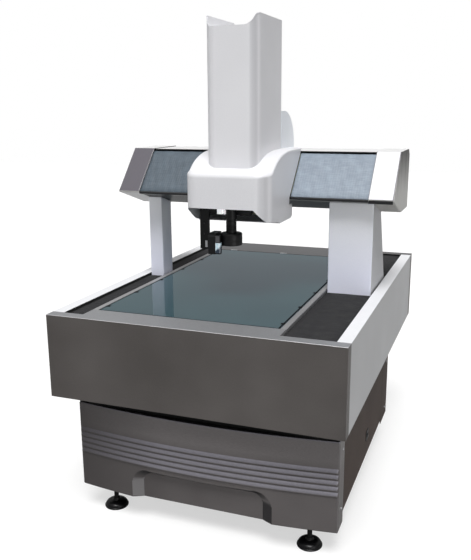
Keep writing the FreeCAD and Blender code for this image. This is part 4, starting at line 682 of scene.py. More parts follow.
def tidy(piece, angle=0.4):
    """Joins doubled points and flat neighbours."""
    with edited(piece.data) as work:
        bmesh.ops.remove_doubles(work, verts=work.verts, dist=1e-5)
        bmesh.ops.dissolve_limit(work, angle_limit=math.radians(angle), verts=work.verts, edges=work.edges)
    return piece


def weigh(piece, rule):
    """Sets each sharp edge's share of the rounding by a rule on its two millimetre ends."""
    with edited(piece.data) as work:
        layers = work.edges.layers.float
        layer = layers.get("bevel_weight_edge") or layers.new("bevel_weight_edge")
        for edge in work.edges:
            sharp = math.degrees(edge.calc_face_angle(0.0)) > 25
            edge[layer] = rule(*(back(vert.co) for vert in edge.verts)) if sharp else 0.0
    return piece


def open_up(piece, rule):
    """Deletes the faces that a rule on the millimetre centre and the normal picks."""
    with edited(piece.data) as work:
        gone = [face for face in work.faces if rule(back(face.calc_center_median()), face.normal)]
        bmesh.ops.delete(work, geom=gone, context="FACES")
    return piece


def lathe(name, profile, centre, turns=48, axis="Z", cap=True):
    """Turned piece of (radius, height) pairs; a third entry makes that ring a hexagon across its flats."""
    points = []
    for entry in profile:
        for step in range(turns):
            angle = 2 * math.pi * step / turns
            radius = entry[0]
            if len(entry) > 2:
                radius /= math.cos((angle + math.pi / 6) % (math.pi / 3) - math.pi / 6)
            side = (radius * math.cos(angle), radius * math.sin(angle))
            place_on = {"Z": (side[0], side[1], entry[1]), "X": (entry[1], side[0], side[1]),
                        "Y": (side[0], entry[1], side[1])}[axis]
            points.append(tuple(c + d for c, d in zip(centre, place_on)))
    faces = strips(len(profile), turns, True)
    if cap:
        faces.append(tuple(range(turns)))
        last = (len(profile) - 1) * turns
        faces.append(tuple(range(last, last + turns)))
    return from_lists(name, points, faces)


def join(name, parts):
    """One object made of several."""
    work = bmesh.new()
    for part in parts:
        shape = part.data.copy()
        shape.transform(part.matrix_world)
        work.from_mesh(shape)
        bpy.data.meshes.remove(shape)
        bpy.data.objects.remove(part)
    mesh = bpy.data.meshes.new(name)
    work.to_mesh(mesh)
    work.free()
    return link(name, mesh)


def cuboid(name, x0, x1, y0, y1, z0, z1, rounding=1.0):
    """Box with rounded edges."""
    made = prism(name, [(x0, y0), (x1, y0), (x1, y1), (x0, y1)], 2, z0, z1)
    return round_off(made, rounding)


def remake(node, skin, width, segments=3):
    """The node's own shape with its edges rounded."""
    source = frame["nodes"][node].data
    points = [vert.co.copy() for vert in source.vertices]
    mesh = bpy.data.meshes.new(node)
    mesh.from_pydata(points, [], [tuple(face.vertices) for face in source.polygons])
    piece = link(node + "_finished", mesh)
    tidy(piece, 1.0)
    round_off(piece, width, segments)
    return place(piece, skin, BODY[node], (node,))


def dress(skin, *nodes):
    """Gives carried-over nodes their material."""
    for node in nodes:
        piece = frame["nodes"][node]
        for entry in piece.material_slots:
            entry.link = "OBJECT"
            entry.material = SKIN[skin]


# Bellows

def pleats(name, skin, node, bodies, start, along, across, rise, length, width, pitch, depth, groove):
    """Pleated sheet between two bodies, with flattened hems along both sides."""
    count = max(4, round(length / pitch))
    shares = (0.0, 0.06, 0.18, 0.36, 0.5, 0.64, 0.82, 0.94)
    heights = [1 - groove * (1 - height) for height in (0.0, 0.45, 0.85, 0.98, 1.0, 0.98, 0.85, 0.45)]
    rows = [(fold + share, height) for fold in range(count) for share, height in zip(shares, heights)]
    rows.append((float(count), 1 - groove))
    hem = 7.0
    columns = [(0.0, 0.55), (1.5, 0.8), (hem, 0.85), (hem + 2.5, 1.0)]
    middle = 8
    columns += [(hem + 2.5 + (width - 2 * hem - 5) * step / middle, 1.0) for step in range(1, middle)]
    columns += [(width - offset, share) for offset, share in reversed(columns[:4])]
    points = []
    for fold, height in rows:
        for side, share in columns:
            sway = 0.35 * math.sin(fold * 2.1 + side * 0.05) + 0.25 * math.sin(fold * 0.7 - side * 0.023)
            lift = 0.9 + (depth - 2.6) * (height * share + (1 - share) * 0.15) + sway * share
            spot = start + along * (length * fold / count) + across * side + rise * lift
            points.append(tuple(spot))
    piece = from_lists(name, points, strips(len(rows), len(columns)))
    smooth(piece, 180)
    thicken(piece, 0.8)
    clad(piece, skin, (node,))
    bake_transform(piece, bodies[0], bodies[1], start=at(*start), end=at(*(start + along * length)))
    return piece


def make_bellows():
    """Four bellows over the ways and two on the beam."""
    back_way, up, right = Vector((0, 1, 0)), Vector((0, 0, 1)), Vector((1, 0, 0))
    for node in ("bellows_left_front", "bellows_left_rear", "bellows_right_front", "bellows_right_rear"):
        low, high = (Vector(back(corner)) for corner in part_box(node))
        bodies = ("base", "bridge") if node.endswith("front") else ("bridge", "base")
        pleats(node + "_cloth", "way_cloth", node, bodies, low, back_way, right, up,
               high.y - low.y, high.x - low.x, 9.0, high.z - low.z, 0.5)
    # each side takes its own copy of the cloth: painted shade on the left, painted sheen on the right
    for side, bodies in (("left", ("bridge", "carriage")), ("right", ("carriage", "bridge"))):
        node = "bellows_beam_" + side
        low, high = (Vector(back(corner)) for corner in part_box(node))
        start = slanted(low.x, 8.0, -17.3)
        pleats(node + "_cloth", side + "_cloth", node, bodies, start, right,
               SLANT_UP, SLANT_OUT, high.x - low.x, SLANT_LENGTH - 14.0, 11.0, 14.0, 0.04)


# Beam

def slanted(x, s, t):
    """Millimetre place of a point on the beam's slanted front."""
    return Vector((x, BEAM_LOW[0], BEAM_LOW[1])) + SLANT_UP * s + SLANT_OUT * t


def cap_outline(grow):
    """Side view of an end cap, as (y, z) corners."""
    low = slanted(0, 0, grow)
    top_z = BEAM_CREST[1] + grow
    crest = slanted(0, (top_z - low.z) / math.sin(SLANT), grow)
    corner = 25.0
    return [(low.y, low.z), (BEAM_LOW[0], BEAM_LOW[1] - grow), (BEAM_KNEE[0], BEAM_KNEE[1] - grow),
            (BEAM_REAR + grow, BEAM_KNEE[1] - grow), (BEAM_REAR + grow, top_z - corner),
            (BEAM_REAR + grow - corner, top_z), (crest.y, top_z)]


CAPS = dict(left_end_cap=(-629.0, -525.0), right_end_cap=(517.0, 621.0))


def make_caps():
    """Folded end caps with rounded outer edges, a seam band and, on the right, a white plate on the slanted
    face that stands for a reflection there (painted reflection).
    """
    for node, (x0, x1) in CAPS.items():
        cap = prism(node + "_cover", cap_outline(3.0), 0, x0, x1)
        inner = x1 if x0 < 0 else x0
        tidy(cap, 0.05)
        weigh(cap, lambda a, b: 0.0 if abs(a[0] - inner) < 0.5 and abs(b[0] - inner) < 0.5 else 1.0)
        shell(cap, 4.0, 4, lambda centre, normal: abs(centre[0] - inner) < 0.3 and abs(normal.x) > 0.9)
        place(cap, "cap", "bridge", (node,))
        edge = inner + (-2.2 if inner < 0 else 2.2)
        lip = [at(*slanted(edge, s, 3.4)) for s in (3.0, 60.0, 125.0, 190.0, SLANT_LENGTH - 2)]
        curve = bpy.data.curves.new(node + "_seam", "CURVE")
        curve.dimensions = "3D"
        curve.bevel_depth = 0.0008
        curve.bevel_resolution = 3
        curve.use_fill_caps = True
        line = curve.splines.new("POLY")
        line.points.add(len(lip) - 1)
        for point, spot in zip(line.points, lip):
            point.co = (*spot, 1)
        seam = link(node + "_seam", curve)
        curve.materials.append(SKIN["strip"])
        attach(seam, "bridge")
    # painted reflection: a white plate on the right cap's slanted face
    x0, x1 = CAPS["right_end_cap"]
    crest, behind, ahead = SLANT_LENGTH - 1, 3.1, 5.2
    corners = [slanted(0, s, t) for s, t in ((2, behind), (crest, behind), (crest, ahead), (2, ahead))]
    plate = prism("right_cap_painted_reflection", [(point.y, point.z) for point in corners], 0, x0 + 2, x1 - 5)
    round_off(plate, 0.9)
    place(plate, "white", "bridge")
    low = slanted(0, 0, behind)
    near, far = low.y - 2.2, BEAM_LOW[0] + 4.0
    strip = [(near, low.z - 1.0), (near, low.z - 15.0), (far, low.z - 15.0), (far, low.z - 1.0)]
    band = prism("right_cap_lip", strip, 0, x0 + 2, x1 - 4)
    round_off(band, 0.8)
    place(band, "lip", "bridge")


def make_beam():
    """Beam covers, granite beam, columns and saddles."""
    remake("beam_cover", "cap", 1.6)
    remake("beam_lip", "lip", 0.8)
    dress("stone", "beam", "granite_bed")
    remake("left_column", "column", 5.0, 4)
    remake("right_column", "column", 6.0, 4)
    remake("bridge_saddles", "aluminium", 1.5)


# Head, tower and rear cover

HEAD = dict(left=-168.0, right=188.0, front=370.0, low=314.0, front_top=527.0, rear_top=600.0, ear=706.0)
TOWER = dict(left=-100.0, right=120.0, front=445.0, rear=767.0, top=1120.0)


def rounded_plan(left, right, front, rear, radius, rear_radius=0.0, steps=14):
    """Plan with rounded front corners, and rear ones if a radius is given, as (x, y) corners."""
    points = []
    for cx, cy, bend, start in ((left + radius, front + radius, radius, 180),
                                (right - radius, front + radius, radius, 270),
                                (right - rear_radius, rear - rear_radius, rear_radius, 0),
                                (left + rear_radius, rear - rear_radius, rear_radius, 90)):
        if bend == 0:
            points.append((cx, cy))
            continue
        for step in range(steps + 1):
            angle = math.radians(start + 90 * step / steps)
            points.append((cx + bend * math.cos(angle), cy + bend * math.sin(angle)))
    return points


def sweep(steps=22):
    """Swept top of the head, as (y, z) corners from front to rear: steep at first, then long and flat."""
    low, high = HEAD["front_top"], HEAD["rear_top"]
    points = []
    for step in range(steps + 1):
        t = step / steps
        a, b, c, d = (1 - t) ** 3, 3 * t * (1 - t) ** 2, 3 * t * t * (1 - t), t ** 3
        points.append((a * 425.0 + b * 448.0 + c * 472.0 + d * 707.6, (a + b) * low + (c + d) * high))
    return points


def top_at(y):
    """Height of the head's swept top at a depth."""
    curve = sweep()
    if y <= curve[0][0]:
        return HEAD["front_top"]
    for (y0, z0), (y1, z1) in zip(curve[:-1], curve[1:]):
        if y <= y1:
            return z0 + (z1 - z0) * (y - y0) / (y1 - y0)
    return HEAD["rear_top"]


def softness(y):
    """Share of the soft edge's size at a depth: full in front, less on the sides, least at the rear tip."""
    past_corner = min(1.0, max(0.0, (y - 372.0) / 58.0))
    to_tip = min(1.0, max(0.0, (y - 450.0) / 180.0))
    return 1.0 - 0.55 * past_corner - 0.2 * to_tip


def head_block(corner=60.0, soft=23.0, steps=14, rings=8):
    """Solid head: rounded plan, swept top and a soft edge all round the top."""
    left, right, front = HEAD["left"], HEAD["right"], HEAD["front"]
    depths = [BEAM_REAR] + [y for y, z in reversed(sweep()) if y > front + corner + 4]
    insets = [(0.0, None)]
    for ring in range(rings + 1):
        angle = math.pi / 2 * ring / rings
        insets.append((soft * (1 - math.cos(angle)), soft * (1 - math.sin(angle))))
    points = []
    for inset, drop in insets:
        side = [(left + inset * softness(y), y, softness(y)) for y in depths]
        for step in range(steps + 1):
            angle = math.radians(180 + 90 * step / steps)
            share = softness(front + corner * (1 + math.sin(angle)))
            reach = corner - inset * share
            spot = (left + corner + reach * math.cos(angle), front + corner + reach * math.sin(angle))
            side.append((*spot, share))
        chain = side + [(left + right - x, y, share) for x, y, share in reversed(side)]
        points += [(x, y, 250.0 if drop is None else top_at(y) - drop * share) for x, y, share in chain]
    wide = len(points) // len(insets)
    faces = strips(len(insets), wide)
    starts = [row * wide for row in range(len(insets))]
    faces.append(tuple(starts + [first + wide - 1 for first in reversed(starts)]))
    faces.append(tuple(range(wide)))
    last = starts[-1]
    for column in range(wide // 2 - 1):
        a, b = last + column, last + wide - 1 - column
        faces.append((a, a + 1, b - 1, b))
    return from_lists("head_shell", points, faces)


def make_head():
    """Moulded head shell, open to the beam, below the optics and into the tower."""
    gap = 6.0
    high = 700.0
    foot = BEAM_LOW[0] - gap / math.sin(SLANT)
    rear = foot + (high - BEAM_LOW[1]) / math.tan(SLANT)
    ear_top = 372.0
    mouth_rear = 526.0
    front = HEAD["front"] - 20
    ear, low = HEAD["ear"], HEAD["low"]
    side = [(front, high), (rear, high), (foot, BEAM_LOW[1]), (foot, ear_top), (ear, ear_top)]
    side += [(ear, low + 8), (ear - 22, low), (front, low)]
    head = head_block()
    carve(head, prism("side", side, 0, HEAD["left"] - 30, HEAD["right"] + 30), "INTERSECT")
    top, floor = low + 70.0, low + 4.0
    split = HEAD["right"] - 60.0

    def mouth_at(y):
        share = min(1.0, (mouth_rear - y) / (mouth_rear - HEAD["front"]))
        return floor + (top - floor) * (1 - math.cos(math.pi * share)) / 2

    def ledge_at(y):
        return low + 26.0 + (floor - low - 26.0) * (y - HEAD["front"]) / (mouth_rear - HEAD["front"])

    curve = [(y, mouth_at(y)) for y in (mouth_rear - 9.75 * step for step in range(17))]
    arch = [(front, low - 9), (mouth_rear, low - 9)] + curve + [(front, top)]
    mouth = prism("mouth", arch, 0, HEAD["left"] - 20, HEAD["right"] + 20)
    far_left = HEAD["left"] - 25
    flank = [(far_left, low - 12), (far_left, top + 9), (split - 9, top + 9), (split + 82, low - 12)]
    carve(mouth, prism("flank", flank, 1, front - 5, mouth_rear + 4), "INTERSECT")
    carve(head, mouth, "DIFFERENCE")
    corner = [(front, low - 9), (mouth_rear, low - 9), (mouth_rear, floor), (front, ledge_at(front))]
    carve(head, prism("corner", corner, 0, split - 0.01, HEAD["right"] + 20), "DIFFERENCE")
    hole = rounded_plan(TOWER["left"] + 3, TOWER["right"] - 3, TOWER["front"] + 3, TOWER["rear"] - 3, 42.0)
    carve(head, prism("into_tower", hole, 2, 474.0, 700.0), "DIFFERENCE")
    tidy(head, 0.3)

    def in_tower(point):
        across = TOWER["left"] + 2 < point[0] < TOWER["right"] - 2
        return across and TOWER["front"] + 2 < point[1] < TOWER["rear"] - 2

    def weight(a, b):
        if in_tower(a) and in_tower(b):
            return 0.0
        if min(a[1], b[1]) > mouth_rear + 1 and max(a[2], b[2]) < ear_top + 1:
            return 0.7
        on_lip = max(a[1], b[1]) < 470 and all(abs(point[2] - mouth_at(point[1])) < 0.6 for point in (a, b))
        return 1.0 if on_lip else 0.4

    def opening(centre, normal):
        x, y, z = centre
        if in_tower(centre) and z > 470 and abs(z - top_at(y)) > 0.2:
            return True
        if abs(normal.dot(-SLANT_OUT)) > 0.999 and y > 640:
            return True
        if normal.y > 0.99 and abs(y - foot) < 0.3:
            return True
        if y > mouth_rear + 0.2 or z > top + 1:
            return False
        if normal.z < -0.1 and min(abs(z - mouth_at(y)), abs(z - ledge_at(y))) < 0.35:
            return True
        on_flank = abs(x + z - split - top) < 0.3 and abs(normal.y) < 0.1
        return on_flank or abs(y - mouth_rear) < 0.1 and normal.y < -0.9

    weigh(head, weight)
    shell(head, 9.0, 4, opening)
    place(head, "white", "carriage", ("head_cover",))


def make_tower():
    """Tower shell with a saddle-shaped top, and the quarter-round cover behind it."""
    left, right, top = TOWER["left"], TOWER["right"], TOWER["top"]
    drop = 44.0
    rising = ((9, 0), (-3, 0), (-8, -3), (-10.5, -14), (-15, -32), (-21, -41), (-30, -drop))
    falling = ((-54, -drop), (-42, -41.5), (-30, -35), (-21, -25), (-14, -12), (-8, -3), (-2, 0), (9, 0))
    saddle = [(left - x, top + z) for x, z in rising] + [(right + x, top + z) for x, z in falling]
    outline = [(left - 9, 480.0)] + saddle + [(right + 9, 480.0)]
    plan = rounded_plan(left, right, TOWER["front"], TOWER["rear"], 45.0, 10.0)
    tower = prism("tower_shell", plan, 2, 486.0, 1200.0)
    carve(tower, prism("saddle", outline, 1, 400.0, 800.0), "INTERSECT")
    tidy(tower, 0.3)
    weigh(tower, lambda a, b: 1.0 if min(a[2], b[2]) > top - drop - 1 else 0.0)
    shell(tower, 5.0, 4, lambda centre, normal: normal.z < -0.9 and centre[2] < 490)
    place(tower, "white", "carriage", ("tower_cover",))

    rear, low, high = TOWER["rear"], 592.0, 756.0
    arc = [(rear, low - 4), (rear, high)]
    for step in range(25):
        angle = math.radians(90 - 90 * step / 24)
        bulge = 1 + 0.06 * math.sin(2 * angle)
        arc.append((rear + 20 + 173 * math.cos(angle) * bulge, low + 164 * math.sin(angle) * bulge))
    arc.append((rear + 193, low - 4))
    hump = prism("hump_shell", arc, 0, left, right)
    tidy(hump, 0.3)
    weigh(hump, lambda a, b: 1.0 if max(a[1], b[1]) > rear + 1 and max(a[2], b[2]) > low + 1 else 0.0)
    shell(hump, 12.0, 4,
          lambda centre, normal: normal.y < -0.95 and centre[1] < rear + 0.5 or normal.z < -0.9)
    # the rear cover takes the lighter copy of the white paint: painted light
    place(hump, "rear_white", "carriage", ("rear_cover",))


# Cabinet

CABINET = dict(half=547.0, front=125.0, bow=40.0, top=-405.0, low=-775.0, wrap=207.0)
RIBS = dict(first=-513.0, pitch=23.5, height=19.5, depth=6.0, count=5)
ARCH = dict(mouth=298.0, mouth_top=-645.0, floor=255.0, floor_top=-666.0, floor_y=118.0, corner=40.0)
RIB_CREST = 0.78
FEET = dict(front_left_foot=(-426.0, 183.0), front_right_foot=(426.0, 183.0),
            rear_left_foot=(-426.0, 1182.0), rear_right_foot=(426.0, 1182.0))
STEM = dict(radius=9.95, low=37.5, length=147.0, pitch=2.5, depth=1.0)


def bow_y(x):
    """Depth of the bowed front at a width."""
    half, bow = CABINET["half"], CABINET["bow"]
    radius = (half * half + bow * bow) / (2 * bow)
    return CABINET["front"] - (math.sqrt(radius * radius - x * x) - (radius - bow))


def rib_height(z):
    """How far the ribs stand out at a height."""
    for index in range(RIBS["count"]):
        top = RIBS["first"] - index * RIBS["pitch"]
        share = (top - z) / RIBS["height"]
        if 0 <= share <= RIB_CREST:
            return RIBS["depth"] * math.sin(math.pi / 2 * share / RIB_CREST)
        if RIB_CREST < share <= 1:
            return RIBS["depth"] * math.cos(math.pi / 2 * (share - RIB_CREST) / (1 - RIB_CREST))
    return 0.0


def beyond(x, z, half, top, corner):
    """Distance outside an arch with rounded upper corners, and zero within it."""
    dx = max(abs(x) - (half - corner), 0.0)
    dz = max(z - (top - corner), 0.0)
    return max(math.hypot(dx, dz) - corner, 0.0)


def arch_share(x, z):
    """Zero on the cover's face, one on the arch's floor, with a straight flank between."""
    inner = beyond(x, z, ARCH["floor"], ARCH["floor_top"], ARCH["corner"])
    if inner <= 0:
        return 1.0
    outer = beyond(x, z, ARCH["mouth"], ARCH["mouth_top"], ARCH["corner"] + 14)
    if outer > 0:
        return 0.0
    dx = max(abs(x) - (ARCH["floor"] - ARCH["corner"]), 0.0)
    dz = max(z - (ARCH["floor_top"] - ARCH["corner"]), 0.0)
    lean = math.atan2(dz, dx) / (math.pi / 2) if dx + dz > 0 else 0.0
    reach = (ARCH["mouth"] - ARCH["floor"]) * (1 - lean) + (ARCH["mouth_top"] - ARCH["floor_top"]) * lean
    return max(0.0, 1.0 - inner / max(reach, 1.0))


def stations(marks, step):
    """Even steps between marks, which all stay in the list."""
    places = [marks[0]]
    for start, end in zip(marks[:-1], marks[1:]):
        count = max(1, round(abs(end - start) / step))
        places += [start + (end - start) * index / count for index in range(1, count + 1)]
    return places


def soften(piece, rule, angle):
    """Smooth shading up to another angle where a rule on the millimetre place holds."""
    with edited(piece.data) as work:
        for edge in work.edges:
            turn = math.degrees(edge.calc_face_angle(0.0))
            if turn < angle and all(rule(back(vert.co)) for vert in edge.verts):
                edge.smooth = True


def make_front_cover():
    """Bowed front cover with rounded ribs, a splayed arch and side returns."""
    half, wrap = CABINET["half"], CABINET["wrap"]
    corner = 4.0
    path = []
    for step in range(9):
        path.append((-half, wrap - (wrap - CABINET["front"] - corner) * step / 8, 0.0))
    for step in range(1, 5):
        angle = math.radians(90 * step / 5)
        y = bow_y(half - corner) + corner * (1 - math.sin(angle))
        path.append((-half + corner * (1 - math.cos(angle)), y, 0.0))
    marks = [-half + corner, -ARCH["mouth"], -ARCH["floor"], ARCH["floor"], ARCH["mouth"], half - corner]
    front = [(x, bow_y(x), 1.0) for x in stations(marks, 3.6)]
    right_side = [(-x, y, flag) for x, y, flag in reversed(path)]
    path = path + front + right_side
    rib_low = RIBS["first"] - RIBS["pitch"] * RIBS["count"]
    heights = stations([CABINET["top"], RIBS["first"] + 1], 3.8)[:-1]
    heights += stations([RIBS["first"] + 1, rib_low], 1.18)[:-1]
    heights += stations([rib_low, ARCH["mouth_top"], ARCH["floor_top"], CABINET["low"]], 3.5)
    points = []
    hem = ((0.6, 14.0), (0.2, 4.0), (0.0, 1.2))
    rows = [(heights[0] - past, inset) for past, inset in hem]
    rows += [(z, 0.0) for z in heights[1:-1]]
    rows += [(heights[-1] + past, inset) for past, inset in reversed(hem)]
    for z, inset in rows:
        for x, y, flag in path:
            fade = min(1.0, max(0.0, (half - abs(x)) / 6.0)) if flag else 0.0
            y_now = y - rib_height(z) * fade
            if flag:
                share = arch_share(x, z)
                y_now += (max(ARCH["floor_y"], y) - y) * share
                points.append((x * (1 - inset / half), y_now + inset, z))
            else:
                points.append((x - math.copysign(inset, x), y + (inset if y < 140 else 0), z))
    cover = from_lists("cabinet_front_skin", points, strips(len(rows), len(path)))
    smooth(cover, 13)
    soften(cover, lambda point: point[2] > rib_low, 50)
    thicken(cover, 2.0)
    place(cover, "cabinet", "base", ("cabinet_front_cover",))


def socket_screw(name, centre, axis, way, radius, height):
    """Button-head screw with a hexagon socket."""
    profile = ((0.96, 0.0), (1.0, 0.25), (0.86, 0.8), (0.66, 1.0))
    profile += ((0.44, 1.0, 6), (0.42, 0.35, 6), (0.1, 0.3))
    sized = [(entry[0] * radius, entry[1] * height * way, *entry[2:]) for entry in profile]
    return lathe(name, sized, centre, 24, axis)


def make_cabinet():
    """Cabinet covers, their screws, a dark board behind the front slit that stands for the shade there
    (painted shade), and the lock nuts below.
    """
    make_front_cover()
    remake("cabinet_rear_cover", "cabinet_side", 1.3)
    remake("cabinet_left_panel", "cabinet_side", 1.2)
    remake("cabinet_right_panel", "cabinet_side", 1.2)
    remake("power_inlet", "plastic", 0.8)
    parts = []
    for side in (-1, 1):
        for y in (177.0, 1180.0):
            for z in (-455.0, -700.0):
                parts.append(socket_screw("screw", (CABINET["half"] * side, y, z), "X", side, 6.0, 3.0))
    gather("cabinet_screws", parts, "steel", "base", ("cabinet_fasteners",))
    # dark board that keeps the slit in shade: painted shade
    shade_board = cuboid("front_shade_board", -500.0, 500.0, 126.2, 128.0, -440.0, -336.0, 0.4)
    place(shade_board, "rubber", "base")
    nuts = []
    profile = [(10.2, -16.0), (13.5, -16.0), (15.0, -14.8, 6), (15.0, -1.2, 6), (13.5, 0.0), (10.2, 0.0)]
    for x, y in sorted(FEET.values()):
        nuts.append(lathe("nut", profile, (x, y, CABINET["low"]), 48, cap=False))
    gather("lock_nuts", nuts, "steel", "base", angle=25)


def threaded_stem(x, y, turns=36, rows_a_turn=6):
    """Stem with a ridged thread that fades at its top."""
    low, pitch = STEM["low"], STEM["pitch"]
    rows = int(STEM["length"] / (pitch / rows_a_turn))
    points = []
    for row in range(rows + 1):
        z = low + row * pitch / rows_a_turn
        fade = min(1.0, (low + STEM["length"] - z) / 3)
        for step in range(turns):
            angle = 2 * math.pi * step / turns
            phase = ((z / pitch) - step / turns) % 1.0
            ridge = 1 - abs(2 * phase - 1)
            radius = STEM["radius"] - STEM["depth"] * (1 - ridge * fade)
            points.append((x + radius * math.cos(angle), y + radius * math.sin(angle), FLOOR + z))
    faces = strips(rows + 1, turns, True)
    faces += [tuple(range(turns)), tuple(range(rows * turns, rows * turns + turns))]
    return from_lists("stem", points, faces)


def make_feet():
    """Domed pads on threaded stems."""
    for node, (x, y) in FEET.items():
        pad = [(0.5, 0.0), (46.0, 0.0), (48.0, 1.2), (49.6, 1.6), (50.0, 3.0)]
        pad += [(50.0, 5.6), (49.2, 6.8), (46.5, 8.2)]
        for step in range(1, 9):
            angle = math.radians(90 * step / 9)
            pad.append((18.0 + 28.5 * math.cos(angle), 8.2 + 19.0 * math.sin(angle)))
        pad += [(17.0, 27.6), (15.2, 29.4), (14.0, 32.0), (14.0, 36.6), (13.0, 38.0), (0.5, 38.0)]
        dome = lathe("pad", pad, (x, y, FLOOR), 64)
        gather(node + "_turned", [dome, threaded_stem(x, y)], "foot", node, (node,), 38)


# Housing and stage

def make_housing():
    """Housing panels, the stage glass with its border, tabs and clips, and thin dark strips beside the ways
    that stand for the shadow gap there (painted shade).
    """
    remake("housing_front_panel", "housing", 2.8, 5)
    remake("housing_rear_panel", "rear_housing", 1.4)
    remake("housing_left_panel", "panel", 1.2)
    remake("housing_right_panel", "panel", 1.2)
    remake("stage_strips", "strip", 0.9)
    remake("stage_glass", "glass", 1.0)
    left, right, near, far = -429.4, 313.4, 128.6, 1433.4
    sides = [cuboid("edge", left, left + 3.0, near, far, -1.4, -0.9, 0.1)]
    sides += [cuboid("edge", right - 7.0, right, near, far, -1.4, -0.9, 0.1)]
    sides += [cuboid("edge", left, right, y, y + 4.0, -1.4, -0.9, 0.1) for y in (near, far - 4.0)]
    place(join("glass_border", sides), "border", "base")
    tab_low = back(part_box("glass_clamps")[0])[2]
    parts, screws = [], []
    for x, inward in ((-427.0, 1), (311.0, -1)):
        for y in range(190, 1430, 238):
            edges = sorted((x - inward * 5.8, x + inward * 12.0))
            parts.append(cuboid("tab", edges[0], edges[1], y - 10.0, y + 10.0, tab_low, -0.85, 0.4))
            screws.append(socket_screw("tab_screw", (x, y, -0.86), "Z", 1, 2.6, 0.6))
    gather("glass_tabs", parts, "border", "base", ("glass_clamps",))
    gather("glass_tab_screws", screws, "border", "base")
    # thin dark strips in the gap beside the ways: painted shade
    gap_strips = []
    for side in (-1, 1):
        edges = sorted((side * 540.1, side * 539.2))
        gap_strips.append(cuboid("gap_strip", edges[0], edges[1], 5.0, 1655.0, -24.0, -0.6, 0.3))
    gather("way_gap_shade", gap_strips, "rubber", "base")
    clips = [cuboid("clip", x - 18, x + 18, 1428.0, 1440.0, -0.9, 2.0, 0.9) for x in (-352.0, -66.0)]
    gather("glass_rear_clips", clips, "aluminium", "base")


def make_inner():
    """Materials of the carried-over nodes inside the covers."""
    dress("black", "frame", "z_slide")
    dress("primer", "x_carriage")
    dress("box", "control_box")
    dress("rubber", "isolation_mounts")
    dress("steel", "way_rails", "beam_rails", "way_screw", "beam_screw", "tower_screw")
    dress("drive", "way_drive", "beam_drive", "tower_drive")
    dress("aluminium", "way_blocks", "x_blocks", "z_blocks")
    dress("plate", "stage_frame")
    dress("diffuser", "backlight")


# Optics

OPTICS = (0.0, 470.0)
BARREL = dict(radius=21.5, low=240.0, top=560.0)
RING = dict(radius=45.0, bore=21.7, low=226.0, high=276.0)
CAMERA_HALF = 20


def make_barrel():
    """Lens barrel with grips and rings, and the lens in its mouth."""
    x, y = OPTICS
    radius, low, top = BARREL["radius"], BARREL["low"], BARREL["top"]
    barrel = [(17.6, low + 6), (18.8, low), (21.0, low), (radius, low + 0.7), (radius, 284.0)]
    for z in range(284, 312, 4):
        barrel += [(radius - 1, z + 0.6), (radius - 1, z + 1.8), (radius, z + 2.4), (radius, z + 4.0)]
    barrel += [(radius, 322.0), (19.8, 323.0), (19.8, 328.0), (radius, 329.0)]
    barrel += [(radius, top - 0.8), (20.8, top), (6.0, top)]
    body = lathe("lens_barrel_turned", barrel, (x, y, 0.0), 64)
    smooth(body, 30)
    place(body, "optics", "ram", ("lens_barrel",))
    bulge = [(0.4, 244.2), (6.0, 243.8), (12.0, 242.8), (17.7, 241.0), (17.7, 245.8), (0.4, 246.0)]
    lens = lathe("lens_front", bulge, (x, y, 0.0), 48)
    smooth(lens, 40)
    place(lens, "lens", "ram")


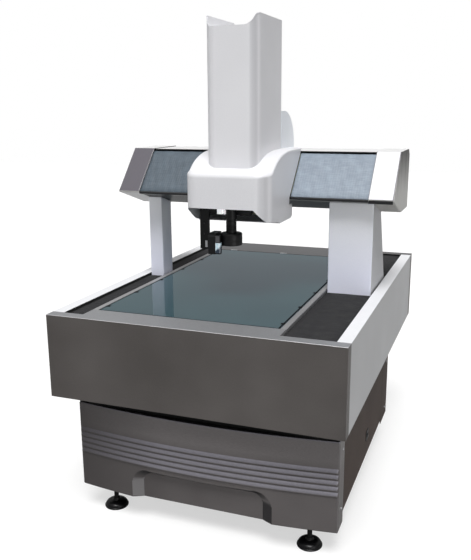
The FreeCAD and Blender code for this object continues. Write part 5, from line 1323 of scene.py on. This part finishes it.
def make_ring_light():
    """Ring light with three rows of lamps in its hollow."""
    x, y = OPTICS
    outer, bore, low, high = RING["radius"], RING["bore"], RING["low"], RING["high"]
    ring = [(bore, high), (40.4, high), (43.4, high - 1.6), (outer, high - 4.4), (outer, low + 22.0)]
    ring += [(44.2, low + 21.4), (44.2, low + 19.8), (outer, low + 19.2), (outer, low + 1.4)]
    ring += [(43.8, low + 0.1), (35.8, low + 0.1), (35.0, low + 1.0), (34.2, low + 17.0)]
    ring += [(28.0, low + 29.0), (bore, low + 30.0), (bore, high)]
    shell = lathe("ring_light_turned", ring, (x, y, 0.0), 72, cap=False)
    tidy(shell, 0.01)
    smooth(shell, 30)
    place(shell, "optics", "ram", ("ring_light",))
    lamps = []
    bulb = [(0.2, -2.2), (1.2, -1.9), (1.9, -0.9), (2.1, 0.6), (1.6, 1.4), (0.2, 1.6)]
    for row, (radius, rise, count) in enumerate(((33.6, 11.0, 22), (32.2, 19.5, 22), (25.6, 29.0, 16))):
        for step in range(count):
            angle = 2 * math.pi * (step + 0.5 * (row % 2)) / count
            spot = (x + radius * math.cos(angle), y + radius * math.sin(angle), low + rise)
            lamps.append(lathe("led", bulb, spot, 12))
    gather("ring_lamps", lamps, "led", "ram", angle=60)


def make_camera_body():
    """Camera with cooling fins and a threaded mount on the barrel."""
    def block(name, half, low, high, rounding):
        x, y = OPTICS
        return cuboid(name, x - half, x + half, y - half, y + half, low, high, rounding)
    foot = BARREL["top"]
    parts = [block("camera_case", CAMERA_HALF, foot, foot + 62, 2.0)]
    parts += [block("fin", CAMERA_HALF + 0.8, z, z + 2.4, 0.4) for z in range(570, 612, 7)]
    thread = [(8.0, foot), (16.0, foot), (16.5, foot + 0.6), (16.5, foot + 4), (8.0, foot + 4)]
    parts.append(lathe("mount", thread, (*OPTICS, 0.0), 48))
    gather("camera_body", parts, "optics", "ram", ("camera",))


def make_probe():
    """Laser probe with its slanted window, on a screwed bracket, and the cable sockets."""
    remake("probe_bracket", "optics", 1.2)
    remake("laser_probe", "optics", 1.6)
    outline = [(-46.0, 407.4), (-29.0, 407.4), (-24.6, 411.5), (-24.6, 425.0)]
    outline += [(-27.0, 427.0), (-27.0, 410.0), (-46.0, 410.0)]
    prism_glass = prism("probe_prism", outline, 2, 198.5, 240.0)
    round_off(prism_glass, 0.8)
    place(prism_glass, "window", "ram", ("probe_window",))
    face = cuboid("probe_face_plate", -45.5, -28.5, 408.6, 410.2, 243.0, 269.0, 0.5)
    place(face, "face", "ram")
    # the sockets' material glows: painted light
    remake("cable_sockets", "socket", 0.8)
    screws = [socket_screw("screw", (-124.0, 482.2, z), "Y", -1, 3.6, 2.2) for z in (262.0, 306.0)]
    gather("bracket_screws", screws, "drive", "ram")
    scale = cuboid("bracket_scale", -121.0, -111.0, 481.0, 482.6, 206.0, 234.0, 0.5)
    place(scale, "aluminium", "ram")


# Everything

make_materials()
make_camera()
make_light()
make_housing()
make_cabinet()
make_feet()
make_beam()
make_caps()
make_bellows()
make_head()
make_tower()
make_barrel()
make_ring_light()
make_camera_body()
make_probe()
make_inner()
